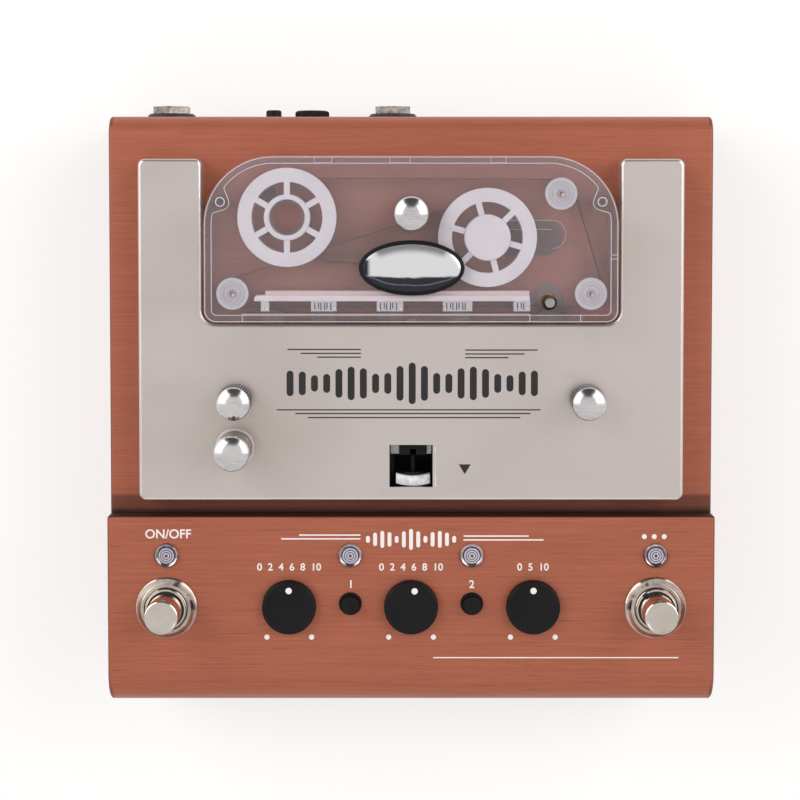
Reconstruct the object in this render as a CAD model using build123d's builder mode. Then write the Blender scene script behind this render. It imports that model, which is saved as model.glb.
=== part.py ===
"""Tape echo unit: folded casing, control panel, tape transport and lift-off tape cartridge.

Millimetres. X to the right, Y to the rear, Z up, origin on the ground under the middle of the unit.
Places that start with "back" are distances behind the casing's front face.
"""
import os
from math import asin, atan2, cos, degrees, hypot, pi, radians, sin

from build123d import *

os.makedirs("parts", exist_ok=True)

# Fits
running = 0.05          # radial play of a shaft in its bush
slide_gap = 0.3         # between pieces that move past each other
seat_gap = 0.02         # between a pressed piece and its seat
stop_gap = 0.5          # left below a stem at the end of its travel

# Casing
casing_width = 220.0
rear_strip = 14.6       # deck behind the cartridge
sheet = 2.0
foot_height = 6.0
deck_height = 52.0      # top of the deck above the ground
step_rise = 9.2         # the control panel stands this far above the deck
panel_depth = 69.3
front_bend = 12.0
rear_bend = 6.5
step_bend = 1.2
edge_round = 1.0
tab_size = 12.0
tab_height = 8.0
tab_inset = 40.0

# Bottom plate, feet and screws
plate_play = 0.25
plate_corner = 2.0
foot_radius = 8.5
foot_taper = 1.5
foot_inset = 19.0
foot_bore = 3.6
foot_bore_depth = 3.0
screw_radius = 1.5
screw_head_radius = 3.0
pan_head = 1.8
standoff_radius = 3.0
standoff_height = 8.0
standoff_inset = 6.0    # from the board's side edge
standoff_back = 24.0    # from the casing's front and rear

# Main board and control board
board_thickness = 1.6
board_margin = 10.0
board_front = 14.0
board_rear_gap = 8.0
chip_size = (14.0, 8.0, 1.8)
chip_pitch = 28.0
chip_back = 24.0
amplifier_size = (8.0, 6.0, 1.4)
amplifier_back = 76.0
capacitor_radius = 4.0
capacitor_height = 11.0
capacitor_xs = (-80.0, -66.0, 66.0, 80.0)
capacitor_back = 96.0
supply_size = (28.0, 24.0, 14.0)
supply_place = (-86.0, 118.0)
header_width = 24.0
header_depth = 6.0
header_height = 4.0
control_board_drop = 12.0     # from the panel's underside to the board's top
control_board_edge = 7.0      # board around the lights
control_board_front = 24.0
switch_clearance = 12.0       # board to the side of a foot switch
wing_gap = 3.5                # board to the rear of a foot switch
ribbon_margin = 2.0
ribbon_thickness = 1.0
ribbon_offset = 8.0           # the lower header stands this far behind the upper one
ribbon_bend = 6.0

# Foot switches
switch_inset = 21.5           # from the casing's side
switch_back = 36.0
dress_nut_radius = 11.1
dress_nut_top_radius = 9.15
dress_nut_height = 3.2
dress_nut_land = 0.6
dress_nut_edge = 0.3
inner_nut_flats = 20.0
inner_nut_height = 2.5
switch_bush_radius = 7.3
switch_bush_rise = 4.0
plunger_radius = 6.0
plunger_edge = 0.4
plunger_rise = 17.2           # top of the cap above the panel
plunger_travel = 3.0
plunger_depth = 6.0           # bore inside the can
switch_can = 17.0
switch_can_height = 20.0
switch_can_drop = 6.0         # below the panel's underside
lug_size = (2.4, 0.8, 4.0)
lug_pitch = 5.0
lug_row = 4.0

# Indicator lights
light_back = 55.0
bezel_radius = 4.5
bezel_height = 1.3
bezel_land = 0.5
bezel_slope = 0.8
bezel_neck_radius = 3.9
bezel_depth = 6.0             # below the panel's underside
lens_radius = 3.2
lens_rise = 1.5
lens_edge = 0.8
lens_flange = 0.4
lens_foot = 1.0
lead_offset = 1.27
lead_radius = 0.3

# Panel knobs and their pots
knob_pitch = 44.15
knob_back = 36.4
knob_radius = 9.8
knob_height = 2.9
knob_lift = 0.4               # gap between the knob and the panel
knob_wall = 1.8
knob_taper = 0.1
knob_edge = 0.9
knob_turns = (0.0, -11.6, 0.0)   # of the pointers, left knob to right knob
knob_dot_radius = 1.15
knob_dot_reach = 6.3
knob_dot_depth = 0.3
shaft_radius = 3.0
pot_bush_radius = 3.6
pot_bush_rise = 1.6
pot_bush_gap = 0.4            # inside the knob, above the bush
pot_side = 11.0
pot_drop = 5.0                # below the panel's underside
pot_floor = 2.0
pot_nut_flats = 10.0
pot_nut_height = 1.2
pot_washer_radius = 5.5
pot_washer_height = 1.0

# Small push buttons
button_x = 22.0
button_back = 37.4
button_radius = 3.0
button_rise = 3.8
button_edge = 0.5
button_travel = 1.5
button_stem_radius = 1.5
collar_radius = 4.1
collar_rise = 0.5
collar_flange = 1.2
collar_flange_height = 1.5
push_body = 9.0
push_body_height = 5.0
push_floor = 2.0

# Rear face
rear_axis_rise = 7.4          # the rear parts' axis above the main board
output_inset = 19.9           # from the casing's side
input_x = -6.7
jack_bore_radius = 3.25
jack_bush_radius = 4.7
jack_washer_radius = 9.0
jack_washer_thickness = 1.8
jack_nut_flats = 13.0
jack_nut_thickness = 2.7
jack_nut_cover = 0.3          # the nut stands past its bush
jack_width = 14.4
jack_length = 26.0
jack_end_wall = 4.0
bush_root = 1.0               # a bush starts this far inside its body
washer_chamfer = 0.8
rear_button_x = -51.6
rear_button_radius = 2.9
rear_button_rise = 3.2
rear_button_travel = 2.5
rear_switch_face = 12.0       # from the rear face
rear_switch_size = (9.0, 14.0)
rear_switch_depth = 4.0       # of the stem in the switch
rear_knob_x = -37.1
rear_knob_radius = 6.4
rear_knob_rise = 3.0
rear_knob_edge = 1.5
rear_pot_gap = 3.0            # between the pot and the wall
rear_pot_length = 10.0
rear_shaft_depth = 12.0
rear_body_rise = 5.0          # top of pot and switch above the axis
inlet_inset = 28.0
inlet_radius = 5.2
inlet_width = 12.0
inlet_length = 14.0
inlet_bore_radius = 3.0
inlet_pin_radius = 1.05
inlet_depth = 10.0

# Deck cover
cover_side_strip = 11.8       # deck beside the cover
cover_front_strip = 5.8
cover_leg_setback = 1.0       # the legs end this far before the cartridge's rear
cover_rise = 10.0             # top of the cover above the deck
cover_sheet = 1.5
cover_bend = 1.3
cover_corner = 2.5
bay_side_gap = 0.8            # between the cover and the cartridge
bay_front_gap = 0.5
bay_corner = 5.0
window_side_gap = 1.4         # beside the lever's disc
window_inset = 4.9            # behind the cover's front
window_depth = 15.3
thumb_x = 63.3
thumb_setback = 31.2          # behind the window's front
thumb_radius = 6.4
thumb_rise = 11.5
thumb_shaft_radius = 2.5
thumb_edge = 0.5
thumb_dome_step = 0.1
dome_height = 3.0
post_neck_radius = 3.95
post_radius = 5.55
post_neck_depth = 3.0
release_x = -63.5
release_setback = 14.2        # behind the window's front
release_radius = 6.35
release_wall_radius = 6.0      # below the rim of the face
release_rim = 0.8
release_dome = 2.4
release_dome_turns = (0, 25, 50, 72)
release_rise = 17.5
release_stem_radius = 2.5
release_stem_depth = 6.0
release_travel = 4.0

# Tape, capstan and pinch roller
tape_width = 6.35
tape_thickness = 0.3
tape_gap = 0.3
capstan_inset = 24.9          # from the cartridge's right side
capstan_radius = 1.7
capstan_rise = 3.0            # top of the capstan above the cartridge
capstan_hole_gap = 1.0
bush_radius = 3.1
bush_recess = 5.0
housing_radius = 6.3
housing_flange_radius = 11.0
housing_flange = 3.0
housing_wall = 2.0            # below the bush
housing_lip = 0.6
pinch_radius = 5.6
pinch_edge = 0.3
pinch_cover_gap = 1.0
axle_radius = 1.5
axle_end = 0.5

# Drive below the deck
frame_sheet = 2.0
frame_rise = 2.0              # above the main board
frame_post_gap = 1.85
frame_side_gap = 4.5          # beside the flywheel
frame_end_inset = 6.0
frame_left_margin = 12.5
frame_foot = 24.0
flywheel_radius = 30.0
flywheel_height = 7.0
flywheel_web = 3.0
flywheel_rim = 6.0
flywheel_hub = 5.7
flywheel_hub_drop = 1.5
flywheel_clearance = 2.4
motor_x = -24.0
motor_radius = 16.0
motor_edge = 1.0
motor_shaft_radius = 1.0
motor_shaft_depth = 8.0
pulley_radius = 4.0
pulley_flange = 1.2
pulley_flange_height = 0.7
pulley_margin = 1.2
belt_height = 4.0
belt_thickness = 0.8

# Head carriage, lock lever and crank
lever_travel = 6.0
lever_arm = 10.0              # crank arm to the lever
carriage_arm = 7.0            # crank arm to the carriage
lever_guide_depth = 4.8
crank_gap = 5.0               # from the lever's guides to the pivot
crank_thickness = 1.4
crank_width = 4.4
crank_hub = 3.8
crank_rise = 1.4              # above the carriage
pivot_radius = 3.5
pin_radius = 1.2
slot_play = 2.2               # longer than the pin
carriage_sheet = 1.6
carriage_lift = 0.6           # gap below the carriage
carriage_play = 0.8           # between the unlocked carriage and the crank's pivot
carriage_post_gap = 0.75
carriage_rear_gap = 1.6       # before the cartridge
carriage_corner = (17.0, 14.0)
tongue_span = (-4.5, 2.9)
tongue_reach = 3.2
pinch_arm = 7.5
pinch_arm_reach = 3.4
guide_radius = 2.0
guide_head_radius = 3.6
guide_head_height = 1.2
guide_xs = (-47.0, 30.0)
guide_setback = 6.5           # behind the carriage's front
disc_x = 0.7
disc_radius = 6.4
disc_setback = 0.1            # behind the window's front
disc_thickness = 4.8
disc_axis_drop = 8.2          # the disc's axis below the cover's top
disc_chamfer = 0.4
disc_bay_gap = 1.3
rod_radius = 1.4
rod_side_gap = 0.4
riser_depth = 2.2
riser_width = 2.4
lever_plate_half = 5.0
lever_plate_thickness = 1.2
lever_plate_reach = 3.2
head_xs = (-50.0, -31.4, -7.6, 16.7)
head_width = 11.0
head_depth = 11.4
head_drop = 3.0               # below the deck
head_nose = 4.2
head_nose_round = 2.0
head_bay_gap = 1.5
head_side_gap = 2.0

# Cartridge
cartridge_half_width = 74.4
cartridge_setback = 59.5      # behind the window's front
cartridge_depth = 59.9
cartridge_lift = 0.3          # gap between the deck and the cartridge's floor
cartridge_rear_corner = 25.0
cartridge_front_corner = 4.5
floor_thickness = 1.5
lid_thickness = 1.5
wall_thickness = 2.2
notch_gap = 3.0               # from the outer rollers' axes
notch_clearance = 0.4
lid_gap = 1.4                 # above the reels' flanges
lid_edge_round = 0.6
tape_floor_gap = 0.4
flange_gap = 0.35             # above the tape
reel_radius = 17.8
reel_window_radius = 12.75
reel_drum_radius = 13.7
reel_hub_radius = 8.3
reel_hub_bore = 6.4
boss_wall = 1.0
reel_flange = 1.2
reel_cap = 1.4
reel_boss_gap = 1.5
spoke_width = 2.2
spoke_root = 0.4
spoke_count = 6
left_reel_inset = 29.8        # from the cartridge's left side
left_reel_setback = 37.8      # from the cartridge's front
right_reel_inset = 47.0       # from the cartridge's right side
right_reel_setback = 30.6
left_spoke_turn = 90.0         # of a spoke, from the right-hand side
right_spoke_turn = 104.5
roller_flange_radius = 5.8
roller_flange = 1.0
roller_drum_radius = 4.7
roller_pin_radius = 1.3
roller_slope = 2.0
roller_collar = 1.0
roller_collar_rise = 0.5
roller_edge = 0.3
front_roller_setback = 10.35
left_roller_inset = 10.1
right_roller_inset = 9.7
rear_roller_inset = 20.5
rear_roller_setback = 46.3
rail_left_gap = 18.0          # from the cartridge's left side
rail_right_gap = 31.6
rail_gap = 2.5                # behind the tape's line
rail_depth = 3.7
head_pad_widths = (9.2, 9.6, 10.6)
first_pad_start = 2.4         # from the rail's left end
first_pad_length = 3.0
last_pad_length = 6.0         # up to the rail's right end
pad_gap = 0.05
pad_lip = 1.4
badge_length = 37.8
badge_width = 19.8
badge_x = 0.2
badge_setback = 19.8
badge_height = 1.0
badge_crown = 1.1
case_screw_inset = 6.1
case_screw_setback = 43.4
case_screw_radius = 1.2
case_screw_head = 0.5
case_boss_radius = 2.4
retaining_setback = 39.4
retaining_radius = 6.5
retaining_rise = 10.7
retaining_shaft_radius = 1.5
retaining_neck_radius = 4.45
retaining_flange_radius = 6.05
retaining_flange = 2.0

# Worked out from the sizes above: places from front to rear, and from side to side
cover_front = panel_depth + cover_front_strip
window_front = cover_front + window_inset
window_rear = window_front + window_depth
disc_front = window_front + disc_setback
lever_guide_back = disc_front + disc_thickness + lever_travel + slide_gap
crank_back = lever_guide_back + lever_guide_depth + crank_gap
thumb_back = window_front + thumb_setback
release_back = window_front + release_setback
cartridge_front = window_front + cartridge_setback
cartridge_rear = cartridge_front + cartridge_depth
cover_rear = cartridge_rear - cover_leg_setback
casing_depth = cartridge_rear + rear_strip
carriage_rear = cartridge_front - carriage_rear_gap
head_front = carriage_rear - head_depth
bay_front = cartridge_front - bay_front_gap
front_roller_back = cartridge_front + front_roller_setback
case_screw_back = cartridge_front + case_screw_setback
retaining_back = cartridge_front + retaining_setback
badge_back = cartridge_front + badge_setback
switch_x = casing_width / 2 - switch_inset
output_x = -(casing_width / 2 - output_inset)
inlet_x = casing_width / 2 - inlet_inset
knob_xs = (-knob_pitch, 0.0, knob_pitch)
button_xs = (-button_x, button_x)
light_xs = (-switch_x, -button_x, button_x, switch_x)
cover_half_width = casing_width / 2 - cover_side_strip
bay_half_width = cartridge_half_width + bay_side_gap
window_half_width = disc_radius + window_side_gap
crank_x = disc_x - lever_arm
carriage_half_width = thumb_x - post_radius - carriage_post_gap
capstan_x = cartridge_half_width - capstan_inset
case_screw_x = cartridge_half_width - case_screw_inset
front_roller_xs = (left_roller_inset - cartridge_half_width, cartridge_half_width - right_roller_inset)
rear_roller = (cartridge_half_width - rear_roller_inset, cartridge_front + rear_roller_setback)
left_reel = (left_reel_inset - cartridge_half_width, cartridge_front + left_reel_setback)
right_reel = (cartridge_half_width - right_reel_inset, cartridge_front + right_reel_setback)
rail_left = rail_left_gap - cartridge_half_width
rail_right = cartridge_half_width - rail_right_gap
first_pad = (rail_left + first_pad_start, rail_left + first_pad_start + first_pad_length)
last_pad = (rail_right - last_pad_length, rail_right)
head_pads = [(x - width / 2, x + width / 2) for x, width in zip(head_xs[1:], head_pad_widths)]
notch_left = front_roller_xs[0] + roller_drum_radius - slide_gap
notch_right = front_roller_xs[1] - notch_gap
front_y = -(casing_depth + jack_washer_thickness + jack_nut_thickness) / 2
rear_y = front_y + casing_depth
deck_under = deck_height - sheet
panel_top = deck_height + step_rise
panel_under = panel_top - sheet
cover_top = deck_height + cover_rise
cover_under = cover_top - cover_sheet
plate_top = foot_height + sheet
board_bottom = plate_top + standoff_height
board_top = board_bottom + board_thickness
rear_axis = board_top + rear_axis_rise
control_board_top = panel_under - control_board_drop
control_board_bottom = control_board_top - board_thickness
floor_bottom = deck_height + cartridge_lift
floor_top = floor_bottom + floor_thickness
tape_bottom = floor_top + tape_floor_gap
tape_top = tape_bottom + tape_width
reel_flange_bottom = tape_top + flange_gap
reel_flange_top = reel_flange_bottom + reel_flange
lid_under = reel_flange_top + lid_gap
lid_top = lid_under + lid_thickness
tape_line = front_roller_back - roller_drum_radius - tape_gap - tape_thickness / 2
capstan_back = tape_line + tape_thickness / 2 + tape_gap + capstan_radius
pinch_back = tape_line - tape_thickness / 2 - tape_gap - pinch_radius
rail_back = tape_line + rail_gap
frame_under = deck_under - frame_sheet
lever_swing = degrees(asin(lever_travel / 2 / lever_arm))
carriage_travel = lever_travel * carriage_arm / lever_arm
carriage_front = crank_back + pivot_radius + carriage_travel + carriage_play
guide_back = carriage_front + guide_setback
carriage_bottom = deck_height + carriage_lift
carriage_top = carriage_bottom + carriage_sheet
disc_axis = cover_top - disc_axis_drop
shell_inner_width = casing_width - 2 * sheet


def behind(back):
    """Y of a place that lies this far behind the casing's front face."""
    return front_y + back


def level(height):
    """Horizontal plane at this height above the ground."""
    return Plane.XY.offset(height)


def rear_plane(inset=0.0):
    """Upright plane this far inside the rear face; extrudes run forward, into the casing."""
    return Plane.XZ.offset(-(rear_y - inset))


def post(x, back, radius, bottom, top, mode=Mode.ADD):
    """Round column between two heights."""
    with Locations((x, behind(back), bottom)):
        Cylinder(radius, top - bottom, align=(Align.CENTER, Align.CENTER, Align.MIN), mode=mode)


def block(x_span, back_span, z_span, mode=Mode.ADD):
    """Box between two X, two distances behind the front face and two heights."""
    with Locations((x_span[0], behind(back_span[0]), z_span[0])):
        Box(
            x_span[1] - x_span[0],
            back_span[1] - back_span[0],
            z_span[1] - z_span[0],
            align=(Align.MIN, Align.MIN, Align.MIN),
            mode=mode,
        )


def turned(x, back, outline):
    """Solid of revolution about an upright axis, from points of radius and height."""
    with BuildSketch(Plane(origin=(x, behind(back), 0), x_dir=(1, 0, 0), z_dir=(0, -1, 0))) as profile:
        with BuildLine():
            Polyline(*outline, close=True)
        make_face()
    revolve(profile.sketch, axis=Axis((x, behind(back), 0), (0, 0, 1)))


def casing_points(inset, reach):
    """Side view of the casing, moved inwards; reach lengthens it below the open bottom."""
    top = panel_top - inset
    deck = deck_height - inset
    step = behind(panel_depth) - inset
    return [
        (front_y + inset, foot_height - reach),
        (front_y + inset, top),
        (step, top),
        (step, deck),
        (rear_y - inset, deck),
        (rear_y - inset, foot_height - reach),
    ]


# Casing: front, panel, step, deck and rear folded from one sheet, with welded sides
with BuildPart() as casing_shell:
    with BuildSketch(Plane.YZ.offset(-casing_width / 2)) as outer_side:
        with BuildLine():
            Polyline(*casing_points(0, 0), close=True)
        make_face()
        fillet(outer_side.vertices().group_by(Axis.Y)[-1].sort_by(Axis.X)[0], front_bend)
        fillet(outer_side.vertices().group_by(Axis.Y)[-1].sort_by(Axis.X)[-1], step_bend)
        fillet(outer_side.vertices().group_by(Axis.X)[-1].sort_by(Axis.Y)[-1], rear_bend)
    extrude(amount=casing_width)
    side_faces = casing_shell.faces().sort_by(Axis.X)
    rims = side_faces[0].edges() + side_faces[-1].edges()
    fillet(rims.filter_by(lambda edge: edge.center().Z > foot_height + edge_round), edge_round)
    with BuildSketch(Plane.YZ.offset(-shell_inner_width / 2)) as inner_side:
        with BuildLine():
            Polyline(*casing_points(sheet, sheet), close=True)
        make_face()
        fillet(inner_side.vertices().group_by(Axis.Y)[-1].sort_by(Axis.X)[0], front_bend - sheet)
        fillet(inner_side.vertices().group_by(Axis.X)[-1].sort_by(Axis.Y)[-1], rear_bend - sheet)
    extrude(amount=shell_inner_width, mode=Mode.SUBTRACT)
    # welded tabs that take the bottom plate's screws
    tab_x = shell_inner_width / 2 - tab_size / 2
    tab_backs = (tab_inset, casing_depth / 2, casing_depth - tab_inset)
    for side in (-1, 1):
        for back in tab_backs:
            with Locations((side * tab_x, behind(back), plate_top)):
                Box(tab_size, tab_size, tab_height, align=(Align.CENTER, Align.CENTER, Align.MIN))
            post(side * tab_x, back, screw_radius, plate_top, plate_top + tab_height, Mode.SUBTRACT)
    # holes in the control panel
    with BuildSketch(level(panel_top)):
        with Locations(*[(side * switch_x, behind(switch_back)) for side in (-1, 1)]):
            Circle(switch_bush_radius + slide_gap)
        with Locations(*[(x, behind(light_back)) for x in light_xs]):
            Circle(bezel_neck_radius + running)
        with Locations(*[(x, behind(knob_back)) for x in knob_xs]):
            Circle(pot_bush_radius + running)
        with Locations(*[(x, behind(button_back)) for x in button_xs]):
            Circle(collar_radius + running)
    extrude(amount=-2 * sheet, mode=Mode.SUBTRACT)
    # holes in the deck, all below the cover or the cartridge
    head_bay = (head_front - carriage_travel - head_bay_gap, carriage_rear + slide_gap)
    head_reach = head_width / 2 + head_side_gap
    with BuildSketch(level(deck_height)):
        with Locations((capstan_x, behind(capstan_back))):
            Circle(housing_radius + running)
        with Locations((0, behind(retaining_back))):
            Circle(retaining_neck_radius + running)
        with Locations((release_x, behind(release_back))):
            Circle(release_stem_radius + slide_gap)
        with Locations(*[(side * thumb_x, behind(thumb_back)) for side in (-1, 1)]):
            Circle(post_neck_radius + running)
    extrude(amount=-2 * sheet, mode=Mode.SUBTRACT)
    deck_cut = (deck_under - sheet, deck_height + sheet)
    block((head_xs[0] - head_reach, head_xs[-1] + head_reach), head_bay, deck_cut, Mode.SUBTRACT)
    window_bay = (disc_front - disc_bay_gap, lever_guide_back)
    disc_reach = disc_radius + disc_bay_gap
    block((disc_x - disc_reach, disc_x + disc_reach), window_bay, deck_cut, Mode.SUBTRACT)
    # holes in the rear wall
    with BuildSketch(rear_plane()):
        with Locations((output_x, rear_axis), (input_x, rear_axis)):
            Circle(jack_bush_radius + slide_gap)
        with Locations((rear_button_x, rear_axis)):
            Circle(rear_button_radius + slide_gap)
        with Locations((rear_knob_x, rear_axis)):
            Circle(pot_bush_radius + running)
        with Locations((inlet_x, rear_axis)):
            Circle(inlet_radius + running)
    extrude(amount=2 * sheet, mode=Mode.SUBTRACT)

# Bottom plate with pressed-in board standoffs
foot_places = [
    (side * (casing_width / 2 - foot_inset), back)
    for side in (-1, 1)
    for back in (foot_inset, casing_depth - foot_inset)
]
standoff_places = [
    (side * (shell_inner_width / 2 - board_margin - standoff_inset), back)
    for side in (-1, 1)
    for back in (standoff_back, casing_depth - standoff_back)
]
tab_places = [(side * tab_x, back) for side in (-1, 1) for back in tab_backs]

with BuildPart() as bottom_plate:
    with BuildSketch(level(foot_height)):
        with Locations((0, behind(casing_depth / 2))):
            RectangleRounded(
                shell_inner_width - 2 * plate_play,
                casing_depth - 2 * (sheet + plate_play),
                plate_corner,
            )
        with Locations(*[(x, behind(back)) for x, back in foot_places]):
            Circle(screw_radius, mode=Mode.SUBTRACT)
        with Locations(*[(x, behind(back)) for x, back in tab_places]):
            Circle(screw_radius + plate_play, mode=Mode.SUBTRACT)
    extrude(amount=sheet)
    for x, back in standoff_places:
        post(x, back, standoff_radius, plate_top, board_bottom)

with BuildPart() as rubber_feet:
    for x, back in foot_places:
        turned(
            x,
            back,
            [
                (screw_radius, foot_bore_depth),
                (foot_bore, foot_bore_depth),
                (foot_bore, 0),
                (foot_radius - foot_taper, 0),
                (foot_radius, foot_height),
                (screw_radius, foot_height),
            ],
        )

# Screws from below: pan heads under the plate's rim, and one in the bore of each foot
with BuildPart() as bottom_screws:
    for x, back in tab_places:
        post(x, back, screw_head_radius, foot_height - pan_head, foot_height)
        post(x, back, screw_radius - seat_gap, foot_height, plate_top + tab_height - stop_gap)
    for x, back in foot_places:
        post(x, back, screw_head_radius, foot_bore_depth - pan_head, foot_bore_depth)
        post(x, back, screw_radius - seat_gap, foot_bore_depth, plate_top + pan_head)


def mounted(place, size):
    """Box that stands on the main board; place is its left front corner."""
    x, back = place
    width, depth, height = size
    block((x, x + width), (back, back + depth), (board_top, board_top + height))


# Main board with its parts, on the standoffs
with BuildPart() as main_board:
    board_half = shell_inner_width / 2 - board_margin
    board_rear = casing_depth - board_rear_gap
    block((-board_half, board_half), (board_front, board_rear), (board_bottom, board_top))
    for place in range(-2, 3):
        mounted((place * chip_pitch - chip_size[0] / 2, chip_back), chip_size)
        mounted((place * chip_pitch - amplifier_size[0] / 2, amplifier_back), amplifier_size)
    for x in capacitor_xs:
        post(x, capacitor_back, capacitor_radius, board_top, board_top + capacitor_height)
    mounted(supply_place, supply_size)
    lower_header = light_back + ribbon_offset
    mounted(
        (-header_width / 2, lower_header - header_depth / 2),
        (header_width, header_depth, header_height),
    )

# Control board hung below the panel, wide at the rear for the outer lights
with BuildPart() as control_board:
    board_span = (control_board_bottom, control_board_top)
    control_board_rear = light_back + control_board_edge
    middle_half = switch_x - switch_can / 2 - switch_clearance
    block((-middle_half, middle_half), (control_board_front, control_board_rear), board_span)
    wing_half = switch_x + control_board_edge
    wing_front = switch_back + switch_can / 2 + wing_gap
    block((-wing_half, wing_half), (wing_front, control_board_rear), board_span)
    upper_header = (light_back - header_depth / 2, light_back + header_depth / 2)
    header_bottom = control_board_bottom - header_height
    block((-header_width / 2, header_width / 2), upper_header, (header_bottom, control_board_bottom))

# Flat ribbon between the two headers
header_top = board_top + header_height
ribbon_half = header_width / 2 - ribbon_margin
ribbon_drop = (header_bottom - header_top) / 3
with BuildPart() as ribbon_cable:
    with BuildSketch(Plane.YZ.offset(-ribbon_half)):
        with BuildLine():
            FilletPolyline(
                (behind(light_back), header_bottom),
                (behind(light_back), header_bottom - ribbon_drop),
                (behind(lower_header), header_top + ribbon_drop),
                (behind(lower_header), header_top),
                radius=min(ribbon_bend, ribbon_drop),
            )
        trace(line_width=ribbon_thickness)
    extrude(amount=2 * ribbon_half)

# Foot switches: can, neck, threaded bush and inner nut, with solder lugs
switch_bush_top = panel_top + switch_bush_rise
can_top = panel_under - switch_can_drop
can_bottom = can_top - switch_can_height
plunger_top = panel_top + plunger_rise
plunger_bore_bottom = can_top - plunger_depth
with BuildPart() as footswitch_bodies:
    for side in (-1, 1):
        with Locations((side * switch_x, behind(switch_back), can_bottom)):
            Box(switch_can, switch_can, switch_can_height, align=(Align.CENTER, Align.CENTER, Align.MIN))
        post(side * switch_x, switch_back, switch_bush_radius, can_top, switch_bush_top)
        with BuildSketch(level(panel_under - inner_nut_height)):
            with Locations((side * switch_x, behind(switch_back))):
                RegularPolygon(inner_nut_flats / 2, 6, major_radius=False)
        extrude(amount=inner_nut_height)
        lug_width, lug_thickness, lug_length = lug_size
        lug_middle = can_bottom - lug_length / 2
        with Locations((side * switch_x, behind(switch_back), lug_middle)):
            with GridLocations(lug_pitch, 2 * lug_row, 3, 2):
                Box(lug_width, lug_thickness, lug_length)
        bore = plunger_radius + running
        post(side * switch_x, switch_back, bore, plunger_bore_bottom, switch_bush_top, Mode.SUBTRACT)

with BuildPart() as footswitch_nuts:
    nut_bore = switch_bush_radius + seat_gap
    for side in (-1, 1):
        turned(
            side * switch_x,
            switch_back,
            [
                (nut_bore, panel_top),
                (dress_nut_radius, panel_top),
                (dress_nut_radius, panel_top + dress_nut_land),
                (dress_nut_top_radius, panel_top + dress_nut_height - dress_nut_edge),
                (dress_nut_top_radius - dress_nut_edge, panel_top + dress_nut_height),
                (nut_bore, panel_top + dress_nut_height),
            ],
        )


def plunger(x):
    """Foot switch plunger, one thick pin that the foot pushes into the bush."""
    foot = plunger_bore_bottom + plunger_travel + stop_gap
    turned(
        x,
        switch_back,
        [
            (0, foot),
            (plunger_radius, foot),
            (plunger_radius, plunger_top - plunger_edge),
            (plunger_radius - plunger_edge, plunger_top),
            (0, plunger_top),
        ],
    )


with BuildPart() as onoff_plunger:
    plunger(-switch_x)

with BuildPart() as tap_plunger:
    plunger(switch_x)

# Indicator lights: turned bezels, and lights whose leads reach the control board
bezel_foot = panel_under - bezel_depth
with BuildPart() as led_bezels:
    for x in light_xs:
        turned(
            x,
            light_back,
            [
                (lens_radius + seat_gap, bezel_foot),
                (bezel_neck_radius, bezel_foot),
                (bezel_neck_radius, panel_top),
                (bezel_radius, panel_top),
                (bezel_radius, panel_top + bezel_land),
                (bezel_radius - bezel_slope, panel_top + bezel_height),
                (lens_radius + seat_gap, panel_top + bezel_height),
            ],
        )

with BuildPart() as led_lenses:
    for x in light_xs:
        turned(
            x,
            light_back,
            [
                (0, bezel_foot - lens_foot),
                (lens_radius + lens_flange, bezel_foot - lens_foot),
                (lens_radius + lens_flange, bezel_foot),
                (lens_radius, bezel_foot),
                (lens_radius, panel_top + lens_rise - lens_edge - lens_flange),
                (lens_radius - lens_edge, panel_top + lens_rise - lens_flange),
                (0, panel_top + lens_rise),
            ],
        )
        for lead in (-lead_offset, lead_offset):
            post(x + lead, light_back, lead_radius, control_board_top, bezel_foot - lens_foot)

# Pots on the control board, and the knobs with their shafts
pot_body_top = panel_under - pot_drop
pot_bush_top = panel_top + pot_bush_rise
with BuildPart() as pot_bodies:
    for x in knob_xs:
        half = pot_side / 2
        block(
            (x - half, x + half),
            (knob_back - half, knob_back + half),
            (control_board_top, pot_body_top),
        )
        post(x, knob_back, pot_bush_radius, pot_body_top, pot_bush_top)
        with BuildSketch(level(panel_top)):
            with Locations((x, behind(knob_back))):
                RegularPolygon(pot_nut_flats / 2, 6, major_radius=False)
        extrude(amount=pot_nut_height)
        post(x, knob_back, pot_washer_radius, panel_under - pot_washer_height, panel_under)
        bore = shaft_radius + running
        post(x, knob_back, bore, control_board_top + pot_floor, pot_bush_top, Mode.SUBTRACT)

knob_bottom = panel_top + knob_lift
knob_top = knob_bottom + knob_height


def panel_knob(x, turn):
    """Hollow knob on its shaft, with a small recess for the white pointer dot."""
    turned(
        x,
        knob_back,
        [
            (0, control_board_top + pot_floor + stop_gap),
            (shaft_radius, control_board_top + pot_floor + stop_gap),
            (shaft_radius, pot_bush_top + pot_bush_gap),
            (knob_radius - knob_wall, pot_bush_top + pot_bush_gap),
            (knob_radius - knob_wall, knob_bottom),
            (knob_radius, knob_bottom),
            (knob_radius - knob_taper, knob_top - knob_edge),
            (knob_radius - knob_taper - knob_edge, knob_top),
            (0, knob_top),
        ],
    )
    dot_x = x - knob_dot_reach * sin(radians(turn))
    dot_back = knob_back + knob_dot_reach * cos(radians(turn))
    post(dot_x, dot_back, knob_dot_radius, knob_top - knob_dot_depth, knob_top, Mode.SUBTRACT)


with BuildPart() as level_knob:
    panel_knob(knob_xs[0], knob_turns[0])

with BuildPart() as feedback_knob:
    panel_knob(knob_xs[1], knob_turns[1])

with BuildPart() as time_knob:
    panel_knob(knob_xs[2], knob_turns[2])

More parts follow.
